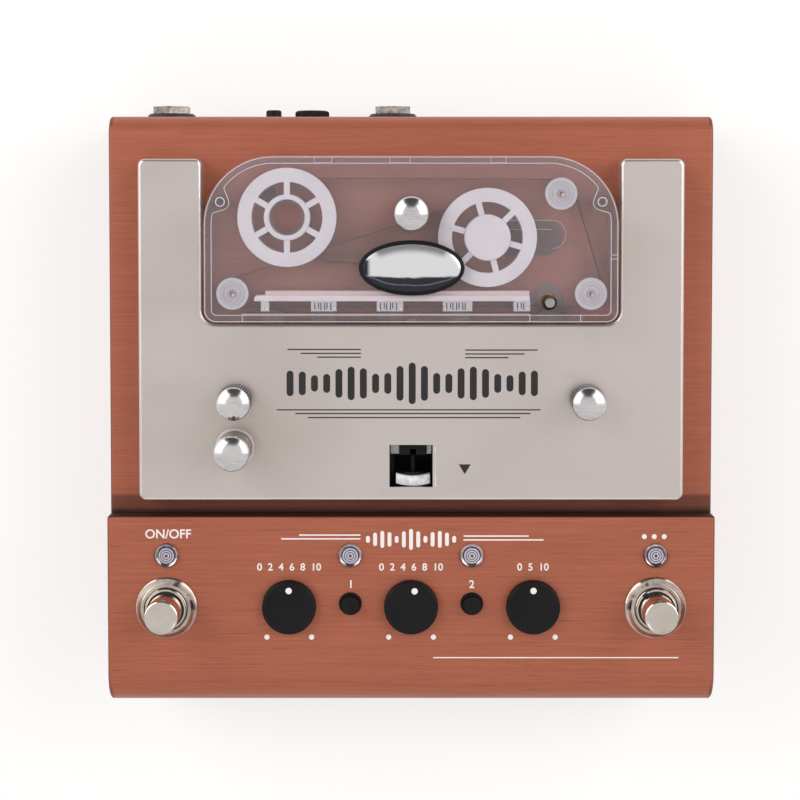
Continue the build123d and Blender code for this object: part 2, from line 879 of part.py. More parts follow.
# Push switches: body on the board, and a collar held in the panel
with BuildPart() as push_switches:
    for x in button_xs:
        with Locations((x, behind(button_back), control_board_top)):
            Box(push_body, push_body, push_body_height, align=(Align.CENTER, Align.CENTER, Align.MIN))
        turned(
            x,
            button_back,
            [
                (button_radius + running, panel_under - collar_flange_height),
                (collar_radius + collar_flange, panel_under - collar_flange_height),
                (collar_radius + collar_flange, panel_under),
                (collar_radius, panel_under),
                (collar_radius, panel_top + collar_rise),
                (button_radius + running, panel_top + collar_rise),
            ],
        )
        stem_floor = control_board_top + push_floor
        body_top = control_board_top + push_body_height
        stem_bore = button_stem_radius + running
        post(x, button_back, stem_bore, stem_floor, body_top, Mode.SUBTRACT)


def push_button(x):
    """Round cap on a thin stem that stands in the switch."""
    top = panel_top + button_rise
    foot = stem_floor + button_travel + slide_gap
    shoulder = body_top + button_travel + slide_gap
    turned(
        x,
        button_back,
        [
            (0, foot),
            (button_stem_radius, foot),
            (button_stem_radius, shoulder),
            (button_radius, shoulder),
            (button_radius, top - button_edge),
            (button_radius - button_edge, top),
            (0, top),
        ],
    )


with BuildPart() as short_button:
    push_button(button_xs[0])

with BuildPart() as long_button:
    push_button(button_xs[1])

# Rear jacks: body on the main board, bush through the wall, washer and hexagon nut
wall_inner = rear_y - sheet
bush_reach = jack_washer_thickness + jack_nut_thickness - jack_nut_cover
with BuildPart() as jack_bodies:
    for x in (output_x, input_x):
        with Locations((x, wall_inner, board_top)):
            Box(
                jack_width,
                jack_length,
                2 * rear_axis_rise,
                align=(Align.CENTER, Align.MAX, Align.MIN),
            )
        with BuildSketch(rear_plane(-bush_reach)):
            with Locations((x, rear_axis)):
                Circle(jack_bush_radius)
        extrude(amount=bush_reach + sheet + bush_root)
        with BuildSketch(rear_plane(-bush_reach)):
            with Locations((x, rear_axis)):
                Circle(jack_bore_radius)
        extrude(amount=bush_reach + sheet + jack_length - jack_end_wall, mode=Mode.SUBTRACT)

with BuildPart() as jack_washers:
    with BuildSketch(rear_plane(-jack_washer_thickness)):
        with Locations((output_x, rear_axis), (input_x, rear_axis)):
            Circle(jack_washer_radius)
            Circle(jack_bush_radius + seat_gap, mode=Mode.SUBTRACT)
    extrude(amount=jack_washer_thickness)
    outer_rims = jack_washers.faces().sort_by(Axis.Y)[-2:].edges()
    chamfer(outer_rims.filter_by(lambda edge: edge.radius > jack_bush_radius + 1), washer_chamfer)

with BuildPart() as jack_nuts:
    with BuildSketch(rear_plane(-jack_washer_thickness - jack_nut_thickness)):
        with Locations((output_x, rear_axis), (input_x, rear_axis)):
            RegularPolygon(jack_nut_flats / 2, 6, major_radius=False, rotation=30)
            Circle(jack_bush_radius + seat_gap, mode=Mode.SUBTRACT)
    extrude(amount=jack_nut_thickness)

# Power inlet, flush with the wall
with BuildPart() as dc_inlet:
    with Locations((inlet_x, wall_inner, board_top)):
        Box(
            inlet_width,
            inlet_length,
            2 * rear_axis_rise,
            align=(Align.CENTER, Align.MAX, Align.MIN),
        )
    with BuildSketch(rear_plane()):
        with Locations((inlet_x, rear_axis)):
            Circle(inlet_radius)
    extrude(amount=sheet + bush_root)
    with BuildSketch(rear_plane()):
        with Locations((inlet_x, rear_axis)):
            Circle(inlet_bore_radius)
            Circle(inlet_pin_radius, mode=Mode.SUBTRACT)
    extrude(amount=inlet_depth, mode=Mode.SUBTRACT)

# Rear level pot and its knob
rear_body_height = rear_axis_rise + rear_body_rise
with BuildPart() as rear_pot:
    with Locations((rear_knob_x, wall_inner - rear_pot_gap, board_top)):
        Box(pot_side, rear_pot_length, rear_body_height, align=(Align.CENTER, Align.MAX, Align.MIN))
    with BuildSketch(rear_plane()):
        with Locations((rear_knob_x, rear_axis)):
            Circle(pot_bush_radius)
    extrude(amount=sheet + rear_pot_gap + bush_root)
    with BuildSketch(rear_plane()):
        with Locations((rear_knob_x, rear_axis)):
            Circle(shaft_radius + running)
    extrude(amount=rear_shaft_depth, mode=Mode.SUBTRACT)

with BuildPart() as rear_knob:
    with BuildSketch(rear_plane(-rear_knob_rise)):
        with Locations((rear_knob_x, rear_axis)):
            Circle(rear_knob_radius)
    extrude(amount=rear_knob_rise - knob_lift)
    knob_rim = rear_knob.faces().sort_by(Axis.Y)[-1].edges()
    fillet(knob_rim, rear_knob_edge)
    with BuildSketch(rear_plane(-knob_lift)):
        with Locations((rear_knob_x, rear_axis)):
            Circle(shaft_radius)
    extrude(amount=rear_shaft_depth)

# Rear push switch and its button
switch_bore_depth = rear_switch_depth + rear_button_travel + stop_gap
with BuildPart() as rear_switch:
    with Locations((rear_button_x, rear_y - rear_switch_face, board_top)):
        Box(*rear_switch_size, rear_body_height, align=(Align.CENTER, Align.MAX, Align.MIN))
    with BuildSketch(rear_plane(rear_switch_face)):
        with Locations((rear_button_x, rear_axis)):
            Circle(button_stem_radius + running)
    extrude(amount=switch_bore_depth, mode=Mode.SUBTRACT)

with BuildPart() as rear_button:
    with BuildSketch(rear_plane(-rear_button_rise)):
        with Locations((rear_button_x, rear_axis)):
            Circle(rear_button_radius)
    extrude(amount=rear_button_rise + rear_switch_face - rear_button_travel - stop_gap)
    chamfer(rear_button.faces().sort_by(Axis.Y)[-1].edges(), button_edge)
    with BuildSketch(rear_plane()):
        with Locations((rear_button_x, rear_axis)):
            Circle(button_stem_radius)
    extrude(amount=rear_switch_face + rear_switch_depth)

# Deck cover: shallow tray with a bay for the cartridge, a window and three holes
cover_points = [
    (-cover_half_width, cover_front),
    (cover_half_width, cover_front),
    (cover_half_width, cover_rear),
    (bay_half_width, cover_rear),
    (bay_half_width, bay_front),
    (-bay_half_width, bay_front),
    (-bay_half_width, cover_rear),
    (-cover_half_width, cover_rear),
]
with BuildPart() as deck_cover:
    with BuildSketch(level(deck_height)) as cover_plan:
        with BuildLine():
            Polyline(*[(x, behind(back)) for x, back in cover_points], close=True)
        make_face()
        bay_line = behind(bay_front)
        bay_ends = cover_plan.vertices().filter_by(lambda v: abs(v.Y - bay_line) < 0.01)
        fillet(bay_ends, bay_corner)
        leg_ends = cover_plan.vertices().group_by(Axis.Y)[-1]
        fillet(leg_ends, cover_corner)
        fillet(cover_plan.vertices().group_by(Axis.Y)[0], cover_corner)
    extrude(amount=cover_rise)
    fillet(deck_cover.faces().sort_by(Axis.Z)[-1].edges(), cover_bend)
    with BuildSketch(level(deck_height)):
        offset(cover_plan.sketch_local, amount=-cover_sheet)
    extrude(amount=cover_rise - cover_sheet, mode=Mode.SUBTRACT)
    # the bay's front edge stays open for the heads and the pinch roller
    bay_opening = (-bay_half_width + bay_corner, bay_half_width - bay_corner)
    bay_lip = (bay_front - 2 * cover_sheet, bay_front + cover_sheet)
    block(bay_opening, bay_lip, (deck_height, cover_under), Mode.SUBTRACT)
    window_sides = (-window_half_width, window_half_width)
    above_and_below = (cover_under - cover_sheet, cover_top + cover_sheet)
    block(window_sides, (window_front, window_rear), above_and_below, Mode.SUBTRACT)
    for side in (-1, 1):
        post(side * thumb_x, thumb_back, thumb_shaft_radius + slide_gap, *above_and_below, Mode.SUBTRACT)
    post(release_x, release_back, release_radius + slide_gap, *above_and_below, Mode.SUBTRACT)

# Posts that carry the cover and take its thumb screws
with BuildPart() as cover_posts:
    for side in (-1, 1):
        bore = thumb_shaft_radius + running
        turned(
            side * thumb_x,
            thumb_back,
            [
                (bore, deck_under - post_neck_depth),
                (post_neck_radius, deck_under - post_neck_depth),
                (post_neck_radius, deck_height),
                (post_radius, deck_height),
                (post_radius, cover_under),
                (bore, cover_under),
            ],
        )


def domed_head(x, back, foot, shaft_radius, radius, seat, top):
    """Plain shank with a head that is knurled up to its polished dome."""
    dome_radius = radius - thumb_dome_step
    dome_foot = top - dome_height
    dome = [
        (dome_radius * cos(radians(turn)), dome_foot + dome_height * sin(radians(turn)))
        for turn in (0, 25, 50, 72)
    ]
    turned(
        x,
        back,
        [
            (0, foot),
            (shaft_radius, foot),
            (shaft_radius, seat),
            (radius - thumb_edge, seat),
            (radius, seat + thumb_edge),
            (radius, dome_foot),
            *dome,
            (0, top),
        ],
    )


def thumb_screw(x):
    """Screw that holds the cover down on its post."""
    foot = deck_under - post_neck_depth + stop_gap
    seat = cover_top + slide_gap
    domed_head(x, thumb_back, foot, thumb_shaft_radius, thumb_radius, seat, cover_top + thumb_rise)


with BuildPart() as thumb_screw_left:
    thumb_screw(-thumb_x)

with BuildPart() as thumb_screw_right:
    thumb_screw(thumb_x)

# Release button: domed face on a plain wall through the cover, stem through the deck
release_top = cover_top + release_rise
release_shoulder = deck_height + release_travel + stop_gap
release_dome_foot = release_top - release_dome
release_rim_foot = release_dome_foot - release_rim
with BuildPart() as release_button:
    turned(
        release_x,
        release_back,
        [
            (0, deck_under - release_stem_depth),
            (release_stem_radius, deck_under - release_stem_depth),
            (release_stem_radius, release_shoulder),
            (release_wall_radius, release_shoulder),
            (release_wall_radius, release_rim_foot),
            (release_radius, release_rim_foot),
            *[
                (
                    release_radius * cos(radians(turn)),
                    release_dome_foot + release_dome * sin(radians(turn)),
                )
                for turn in release_dome_turns
            ],
            (0, release_top),
        ],
    )

# Folded frame under the deck that carries the capstan and the motor
frame_bottom = board_top + frame_rise
frame_front = thumb_back + post_neck_radius + frame_post_gap
frame_left = head_xs[0] - head_reach - frame_left_margin
frame_right = capstan_x + flywheel_radius + frame_side_gap
frame_span = (capstan_back - flywheel_radius, capstan_back + flywheel_radius)
with BuildPart() as transport_frame:
    block((frame_left, frame_right), (frame_front, frame_span[1]), (frame_under, deck_under))
    block(
        (frame_right, frame_right + frame_sheet),
        (frame_span[0] + frame_end_inset, frame_span[1] - frame_end_inset),
        (frame_bottom, deck_under),
    )
    block(
        (capstan_x - frame_foot, frame_right),
        (frame_span[0] + frame_end_inset, frame_span[1] - frame_end_inset),
        (frame_bottom, frame_bottom + frame_sheet),
    )
    through = (frame_under - frame_sheet, deck_under + frame_sheet)
    block((head_xs[0] - head_reach, head_xs[-1] + head_reach), head_bay, through, Mode.SUBTRACT)
    post(capstan_x, capstan_back, housing_radius + running, *through, Mode.SUBTRACT)
    bush_clearance = retaining_flange_radius + 2 * slide_gap
    post(0, retaining_back, bush_clearance, *through, Mode.SUBTRACT)

# Capstan housing, its bronze bush, the shaft and the flywheel
bush_top = deck_height - bush_recess
flywheel_bottom = frame_bottom + frame_sheet + flywheel_clearance
housing_bottom = flywheel_bottom + flywheel_height + stop_gap
bush_bottom = housing_bottom + housing_wall
housing_bore = bush_radius - housing_lip
with BuildPart() as capstan_housing:
    turned(
        capstan_x,
        capstan_back,
        [
            (housing_bore, housing_bottom),
            (housing_radius, housing_bottom),
            (housing_radius, frame_under - housing_flange),
            (housing_flange_radius, frame_under - housing_flange),
            (housing_flange_radius, frame_under),
            (housing_radius, frame_under),
            (housing_radius, deck_height),
            (bush_radius + housing_lip, deck_height),
            (bush_radius + housing_lip, bush_top),
            (bush_radius + seat_gap, bush_top),
            (bush_radius + seat_gap, bush_bottom),
            (housing_bore, bush_bottom),
        ],
    )

with BuildPart() as capstan_bush:
    turned(
        capstan_x,
        capstan_back,
        [
            (capstan_radius + running, bush_bottom),
            (bush_radius, bush_bottom),
            (bush_radius, bush_top),
            (capstan_radius + running, bush_top),
        ],
    )

with BuildPart() as capstan_shaft:
    shaft_foot = frame_bottom + frame_sheet + slide_gap
    post(capstan_x, capstan_back, capstan_radius, shaft_foot, lid_top + capstan_rise)
    chamfer(capstan_shaft.faces().sort_by(Axis.Z)[-1].edges(), capstan_radius / 7)

with BuildPart() as flywheel:
    inner_rim = flywheel_radius - flywheel_rim
    web_bottom = flywheel_bottom + (flywheel_height - flywheel_web) / 2
    web_top = web_bottom + flywheel_web
    flywheel_top = flywheel_bottom + flywheel_height
    hub_bottom = flywheel_bottom - flywheel_hub_drop
    turned(
        capstan_x,
        capstan_back,
        [
            (capstan_radius + seat_gap, hub_bottom),
            (flywheel_hub, hub_bottom),
            (flywheel_hub, web_bottom),
            (inner_rim, web_bottom),
            (inner_rim, flywheel_bottom),
            (flywheel_radius, flywheel_bottom),
            (flywheel_radius, flywheel_top),
            (inner_rim, flywheel_top),
            (inner_rim, web_top),
            (flywheel_hub, web_top),
            (flywheel_hub, flywheel_top),
            (capstan_radius + seat_gap, flywheel_top),
        ],
    )

# Motor under the frame, with its pulley level with the flywheel
belt_bottom = flywheel_bottom + (flywheel_height - belt_height) / 2
pulley_bottom = belt_bottom - pulley_margin
pulley_top = belt_bottom + belt_height + pulley_margin
motor_bottom = pulley_top + slide_gap
with BuildPart() as drive_motor:
    turned(
        motor_x,
        capstan_back,
        [
            (motor_shaft_radius + running, motor_bottom),
            (motor_radius - motor_edge, motor_bottom),
            (motor_radius, motor_bottom + motor_edge),
            (motor_radius, frame_under),
            (0, frame_under),
            (0, motor_bottom + motor_shaft_depth),
            (motor_shaft_radius + running, motor_bottom + motor_shaft_depth),
        ],
    )

with BuildPart() as motor_pulley:
    pulley_rim = pulley_radius + pulley_flange
    shaft_top = motor_bottom + motor_shaft_depth - stop_gap
    turned(
        motor_x,
        capstan_back,
        [
            (0, pulley_bottom),
            (pulley_rim, pulley_bottom),
            (pulley_rim, pulley_bottom + pulley_flange_height),
            (pulley_radius, pulley_bottom + pulley_flange_height),
            (pulley_radius, pulley_top - pulley_flange_height),
            (pulley_rim, pulley_top - pulley_flange_height),
            (pulley_rim, pulley_top),
            (motor_shaft_radius, pulley_top),
            (motor_shaft_radius, shaft_top),
            (0, shaft_top),
        ],
    )


def band(wheels, thickness):
    """Flat band that runs clockwise round wheels of (x, y, radius), with the wheels on its right."""
    count = len(wheels)
    headings = []
    for index, (x, y, radius) in enumerate(wheels):
        next_x, next_y, next_radius = wheels[(index + 1) % count]
        apart = hypot(next_x - x, next_y - y)
        lean = asin((radius - next_radius) / apart)
        headings.append(atan2(next_y - y, next_x - x) - lean)
    with BuildLine() as path:
        for index, (x, y, radius) in enumerate(wheels):
            turn = (headings[index - 1] - headings[index]) % (2 * pi)
            CenterArc((x, y), radius, degrees(headings[index - 1]) + 90, -degrees(turn))
            next_x, next_y, next_radius = wheels[(index + 1) % count]
            side = headings[index] + pi / 2
            Line(
                (x + radius * cos(side), y + radius * sin(side)),
                (next_x + next_radius * cos(side), next_y + next_radius * sin(side)),
            )
    trace(path.line, line_width=thickness)


with BuildPart() as drive_belt:
    with BuildSketch(level(belt_bottom)):
        belt_offset = tape_gap + belt_thickness / 2
        band(
            [
                (capstan_x, behind(capstan_back), flywheel_radius + belt_offset),
                (motor_x, behind(capstan_back), pulley_radius + belt_offset),
            ],
            belt_thickness,
        )
    extrude(amount=belt_height)

# Carriage guides on the deck: two headed studs, the crank's pivot and two lever guides
guide_head = carriage_top + slide_gap
crank_bottom = carriage_top + crank_rise
crank_top = crank_bottom + crank_thickness
lever_plate_bottom = crank_top + slide_gap
lever_plate_top = lever_plate_bottom + lever_plate_thickness
rod_gap = rod_radius + rod_side_gap
guide_side = window_half_width - rod_side_gap
with BuildPart() as carriage_guides:
    for x in guide_xs:
        post(x, guide_back, guide_radius, deck_height, guide_head)
        post(x, guide_back, guide_head_radius, guide_head, guide_head + guide_head_height)
    post(crank_x, crank_back, pivot_radius, deck_height, crank_bottom - slide_gap)
    post(crank_x, crank_back, guide_radius, deck_height, crank_top + stop_gap)
    guide_span = (lever_guide_back, lever_guide_back + lever_guide_depth)
    guide_top = crank_bottom - slide_gap
    block((-guide_side, disc_x - rod_gap), guide_span, (deck_height, guide_top))
    block((disc_x + rod_gap, guide_side), guide_span, (deck_height, guide_top))



def pin_drift(arm):
    """Sideways distance from a pin's furthest place to the middle of its swing."""
    return arm * (1 - cos(radians(lever_swing))) / 2


# Crank between the lever and the carriage
swing = radians(lever_swing)
lever_pin = (crank_x + lever_arm * cos(swing), crank_back - lever_arm * sin(swing))
carriage_pin = (crank_x - carriage_arm * cos(swing), crank_back + carriage_arm * sin(swing))
with BuildPart() as lock_crank:
    with BuildSketch(level(crank_bottom)):
        with BuildLine():
            Line(
                (lever_pin[0], behind(lever_pin[1])),
                (carriage_pin[0], behind(carriage_pin[1])),
            )
        trace(line_width=crank_width)
        for x, back in (lever_pin, carriage_pin):
            with Locations((x, behind(back))):
                Circle(crank_width / 2)
        with Locations((crank_x, behind(crank_back))):
            Circle(crank_hub)
            Circle(guide_radius + running, mode=Mode.SUBTRACT)
    extrude(amount=crank_thickness)
    post(*lever_pin, pin_radius, crank_top, lever_plate_top)
    post(*carriage_pin, pin_radius, carriage_bottom, crank_bottom)

# Lock lever: thumb disc in the window, rod, riser and slotted plate
with BuildPart() as lock_lever:
    with BuildSketch(Plane.XZ.offset(-behind(disc_front))):
        with Locations((disc_x, disc_axis)):
            Circle(disc_radius)
    extrude(amount=-disc_thickness)
    chamfer(lock_lever.edges().filter_by(GeomType.CIRCLE), disc_chamfer)
    riser_span = (lever_guide_back, lever_guide_back + riser_depth)
    rod_front = disc_front + disc_thickness / 2
    with BuildSketch(Plane.XZ.offset(-behind(rod_front))):
        with Locations((disc_x, disc_axis)):
            Circle(rod_radius)
    extrude(amount=-(riser_span[1] - rod_front))
    riser_sides = (disc_x - riser_width / 2, disc_x + riser_width / 2)
    block(riser_sides, riser_span, (disc_axis, lever_plate_top))
    plate_sides = (disc_x - lever_plate_half, disc_x + lever_plate_half)
    plate_span = (lever_guide_back, lever_pin[1] + lever_plate_reach)
    block(plate_sides, plate_span, (lever_plate_bottom, lever_plate_top))
    with BuildSketch(level(lever_plate_bottom)):
        with Locations((disc_x - pin_drift(lever_arm), behind(lever_pin[1]))):
            SlotOverall(2 * pin_radius + slot_play, 2 * (pin_radius + slide_gap))
    extrude(amount=lever_plate_thickness, mode=Mode.SUBTRACT)

# Head carriage: plate with guide slots, tongue to the crank and arm to the pinch roller
with BuildPart() as head_carriage:
    with BuildSketch(level(carriage_bottom)):
        tongue = [carriage_pin[0] + side for side in tongue_span]
        tongue_front = behind(carriage_pin[1] - tongue_reach)
        corner_x, corner_back = carriage_corner
        arm_rear = behind(pinch_back + pinch_arm_reach)
        arm_left = capstan_x - pinch_arm
        arm_right = capstan_x + pinch_arm
        with BuildLine():
            Polyline(
                (-carriage_half_width, behind(carriage_front)),
                (tongue[0], behind(carriage_front)),
                (tongue[0], tongue_front),
                (tongue[1], tongue_front),
                (tongue[1], behind(carriage_front)),
                (arm_right - corner_x, behind(carriage_front)),
                (arm_right, behind(carriage_front + corner_back)),
                (arm_right, arm_rear),
                (arm_left, arm_rear),
                (arm_left, behind(carriage_rear)),
                (-carriage_half_width, behind(carriage_rear)),
                close=True,
            )
        make_face()
        with Locations((carriage_pin[0] - pin_drift(carriage_arm), behind(carriage_pin[1]))):
            SlotOverall(2 * pin_radius + slot_play, 2 * (pin_radius + slide_gap), mode=Mode.SUBTRACT)
        slot_length = carriage_travel + 2 * (guide_radius + 2 * slide_gap)
        for x in guide_xs:
            with Locations((x, behind(guide_back + carriage_travel / 2))):
                SlotOverall(slot_length, 2 * (guide_radius + slide_gap), rotation=90, mode=Mode.SUBTRACT)
        for x in head_xs:
            with Locations((x, behind((head_front + carriage_rear) / 2))):
                Rectangle(head_width, carriage_rear - head_front, mode=Mode.SUBTRACT)
    extrude(amount=carriage_sheet)
    pinch_top = cover_under - pinch_cover_gap
    post(capstan_x, pinch_back, axle_radius, carriage_top, pinch_top + axle_end)

# Heads: cases seated in the carriage, with rounded noses that reach the tape
head_top = cover_under - slide_gap
nose_front = tape_line - tape_thickness / 2 - tape_gap
with BuildPart() as tape_heads:
    for x in head_xs:
        left = x - head_width / 2
        head_bottom = deck_height - head_drop
        block((left, left + head_width), (head_front, carriage_rear), (head_bottom, head_top))
        with BuildSketch(level(floor_top + slide_gap)):
            with BuildLine():
                shoulder = behind(nose_front - head_nose_round)
                Polyline(
                    (x + head_nose, behind(carriage_rear)),
                    (x - head_nose, behind(carriage_rear)),
                    (x - head_nose, shoulder),
                )
                ThreePointArc(
                    (x - head_nose, shoulder),
                    (x, behind(nose_front)),
                    (x + head_nose, shoulder),
                )
                Line((x + head_nose, shoulder), (x + head_nose, behind(carriage_rear)))
            make_face()
        extrude(amount=head_top - floor_top - slide_gap)

with BuildPart() as pinch_roller:
    pinch_bottom = carriage_top + slide_gap
    turned(
        capstan_x,
        pinch_back,
        [
            (axle_radius + running, pinch_bottom),
            (pinch_radius - pinch_edge, pinch_bottom),
            (pinch_radius, pinch_bottom + pinch_edge),
            (pinch_radius, pinch_top - pinch_edge),
            (pinch_radius - pinch_edge, pinch_top),
            (axle_radius + running, pinch_top),
        ],
    )


def cartridge_points(inset):
    """Corners of the cartridge seen from above, moved inwards."""
    half = cartridge_half_width - inset
    return [
        (-half, behind(cartridge_front + inset)),
        (half, behind(cartridge_front + inset)),
        (half, behind(cartridge_rear - inset)),
        (-half, behind(cartridge_rear - inset)),
    ]


# Cartridge base: floor, walls, roller pins, reel bosses and screw bosses
boss_radius = reel_hub_bore - running
notch_rear = nose_front + notch_clearance
with BuildPart() as cartridge_base:
    with BuildSketch(level(floor_bottom)) as base_plan:
        with BuildLine():
            Polyline(*cartridge_points(0), close=True)
        make_face()
        fillet(base_plan.vertices().group_by(Axis.Y)[-1], cartridge_rear_corner)
        fillet(base_plan.vertices().group_by(Axis.Y)[0], cartridge_front_corner)
    extrude(amount=lid_under - floor_bottom)
    with BuildSketch(level(floor_top)) as hollow_plan:
        with BuildLine():
            Polyline(*cartridge_points(wall_thickness), close=True)
        make_face()
        fillet(hollow_plan.vertices().group_by(Axis.Y)[-1], cartridge_rear_corner - wall_thickness)
        fillet(hollow_plan.vertices().group_by(Axis.Y)[0], cartridge_front_corner - wall_thickness)
    extrude(amount=lid_under - floor_top, mode=Mode.SUBTRACT)
    for side in (-1, 1):
        post(side * case_screw_x, case_screw_back, case_boss_radius, floor_top, lid_under)
        post(side * case_screw_x, case_screw_back, case_screw_radius, floor_top, lid_under, Mode.SUBTRACT)
    for x in front_roller_xs:
        post(x, front_roller_back, roller_pin_radius, floor_top, lid_under)
    post(*rear_roller, roller_pin_radius, floor_top, lid_under)
    post(*left_reel, boss_radius, floor_top, reel_flange_top)
    post(*left_reel, boss_radius - boss_wall, floor_bottom, lid_under, Mode.SUBTRACT)
    post(*right_reel, boss_radius, floor_top, lid_under - slide_gap - reel_cap - reel_boss_gap)
    notch_span = (cartridge_front - notch_clearance, notch_rear)
    block((notch_left, notch_right), notch_span, (floor_bottom, lid_under), Mode.SUBTRACT)
    hole_span = (floor_bottom, floor_top)
    post(capstan_x, capstan_back, capstan_radius + capstan_hole_gap, *hole_span, Mode.SUBTRACT)
    post(0, retaining_back, retaining_shaft_radius + slide_gap, *hole_span, Mode.SUBTRACT)

with BuildPart() as cartridge_lid:
    with BuildSketch(level(lid_under)) as lid_plan:
        with BuildLine():
            Polyline(*cartridge_points(0), close=True)
        make_face()
        fillet(lid_plan.vertices().group_by(Axis.Y)[-1], cartridge_rear_corner)
        fillet(lid_plan.vertices().group_by(Axis.Y)[0], cartridge_front_corner)
        with Locations((capstan_x, behind(capstan_back))):
            Circle(capstan_radius + capstan_hole_gap, mode=Mode.SUBTRACT)
        with Locations((0, behind(retaining_back))):
            Circle(retaining_shaft_radius + slide_gap, mode=Mode.SUBTRACT)
        with Locations(*[(side * case_screw_x, behind(case_screw_back)) for side in (-1, 1)]):
            Circle(case_screw_radius, mode=Mode.SUBTRACT)
    extrude(amount=lid_thickness)
    lid_edge = cartridge_lid.faces().sort_by(Axis.Z)[-1].outer_wire().edges()
    fillet(lid_edge, lid_edge_round)

with BuildPart() as cartridge_screws:
    for side in (-1, 1):
        shank = case_screw_radius - seat_gap
        post(side * case_screw_x, case_screw_back, shank, floor_top + stop_gap, lid_top)
        head = case_screw_radius + case_screw_head
        post(side * case_screw_x, case_screw_back, head, lid_top, lid_top + case_screw_head)

# Rail with its pressure pads behind the tape
rail_top = lid_under - slide_gap
pad_front = tape_line + tape_thickness / 2 + pad_gap
with BuildPart() as pad_rail:
    block((rail_left, rail_right), (rail_back, rail_back + rail_depth), (floor_top, rail_top))
    for span in (first_pad, *head_pads, last_pad):
        block(span, (pad_front, rail_back), (tape_bottom, rail_top))
        block(span, (pad_front - pad_lip, pad_front), (tape_top + slide_gap, rail_top))

with BuildPart() as cartridge_badge:
    with BuildSketch(level(lid_top)):
        with Locations((badge_x, behind(badge_back))):
            Ellipse(badge_length / 2, badge_width / 2)
    extrude(amount=badge_height)
    with BuildSketch(level(lid_top + badge_height)):
        with Locations((badge_x, behind(badge_back))):
            Ellipse(badge_length / 2 - badge_crown, badge_width / 2 - badge_crown)
    extrude(amount=badge_crown, taper=45)

# Endless tape: left reel, rear guide, front right guide, front left guide, right reel
with BuildPart() as tape_loop:
    reel_line = reel_drum_radius + tape_gap + tape_thickness / 2
    roller_line = roller_drum_radius + tape_gap + tape_thickness / 2
    with BuildSketch(level(tape_bottom)):
        band(
            [
                (front_roller_xs[1], behind(front_roller_back), roller_line),
                (front_roller_xs[0], behind(front_roller_back), roller_line),
                (right_reel[0], behind(right_reel[1]), reel_line),
                (left_reel[0], behind(left_reel[1]), reel_line),
                (rear_roller[0], behind(rear_roller[1]), roller_line),
            ],
            tape_thickness,
        )
    extrude(amount=tape_width)


reel_bottom = floor_top + slide_gap


def reel(place, first_spoke, hub_top, closed):
    """Spoked flange over a drum, turning on the cartridge's boss."""
    x, back = place
    centre = (x, behind(back))
    with BuildSketch(level(reel_bottom)) as drum:
        with Locations(centre):
            Circle(reel_drum_radius)
            Circle(reel_window_radius, mode=Mode.SUBTRACT)
    extrude(drum.sketch, amount=reel_flange_bottom - reel_bottom)
    with BuildSketch(level(reel_bottom)) as hub:
        with Locations(centre):
            Circle(reel_hub_radius)
            Circle(reel_hub_bore, mode=Mode.SUBTRACT)
    extrude(hub.sketch, amount=hub_top - reel_bottom)
    with BuildSketch(level(reel_flange_bottom)) as flange:
        with Locations(centre):
            Circle(reel_radius)
            Circle(reel_window_radius, mode=Mode.SUBTRACT)
        for index in range(spoke_count):
            turn = first_spoke + index * 360 / spoke_count
            middle = (reel_hub_radius + reel_window_radius) / 2
            spoke_x = centre[0] + middle * cos(radians(turn))
            spoke_y = centre[1] + middle * sin(radians(turn))
            with Locations(Location((spoke_x, spoke_y), (0, 0, turn))):
                Rectangle(reel_window_radius - reel_hub_radius + 2 * spoke_root, spoke_width)
    extrude(flange.sketch, amount=reel_flange)
    if closed:
        post(x, back, reel_hub_radius, hub_top - reel_cap, hub_top)


with BuildPart() as reel_left:
    reel(left_reel, left_spoke_turn, reel_flange_top + slide_gap, False)

with BuildPart() as reel_right:
    reel(right_reel, right_spoke_turn, lid_under - slide_gap, True)


def guide_roller(x, back):
    """Drum with a flange on top, turning on the cartridge's pin."""
    bore = roller_pin_radius + running
    flange_bottom = tape_top + slide_gap
    flange_top = flange_bottom + roller_flange
    turned(
        x,
        back,
        [
            (bore, floor_top + slide_gap),
            (roller_drum_radius, floor_top + slide_gap),
            (roller_drum_radius, flange_bottom),
            (roller_flange_radius, flange_bottom),
            (roller_flange_radius, flange_top - roller_edge),
            (roller_flange_radius - roller_slope, flange_top),
            (bore + roller_collar, flange_top + roller_collar_rise),
            (bore, flange_top + roller_collar_rise),
        ],
    )


with BuildPart() as roller_front_left:
    guide_roller(front_roller_xs[0], front_roller_back)

with BuildPart() as roller_front_right:
    guide_roller(front_roller_xs[1], front_roller_back)

with BuildPart() as roller_rear_right:
    guide_roller(*rear_roller)

# Threaded bush in the deck, and the knob that holds the cartridge down
with BuildPart() as retaining_bush:
    bore = retaining_shaft_radius + running
    turned(
        0,
        retaining_back,
        [
            (bore, frame_under - retaining_flange),
            (retaining_flange_radius, frame_under - retaining_flange),
            (retaining_flange_radius, deck_under),
            (retaining_neck_radius, deck_under),
            (retaining_neck_radius, deck_height),
            (bore, deck_height),
        ],
    )

with BuildPart() as retaining_knob:
    seat = lid_top + slide_gap
    crown = lid_top + retaining_rise
    shaft = retaining_shaft_radius
    domed_head(0, retaining_back, frame_under, shaft, retaining_radius, seat, crown)

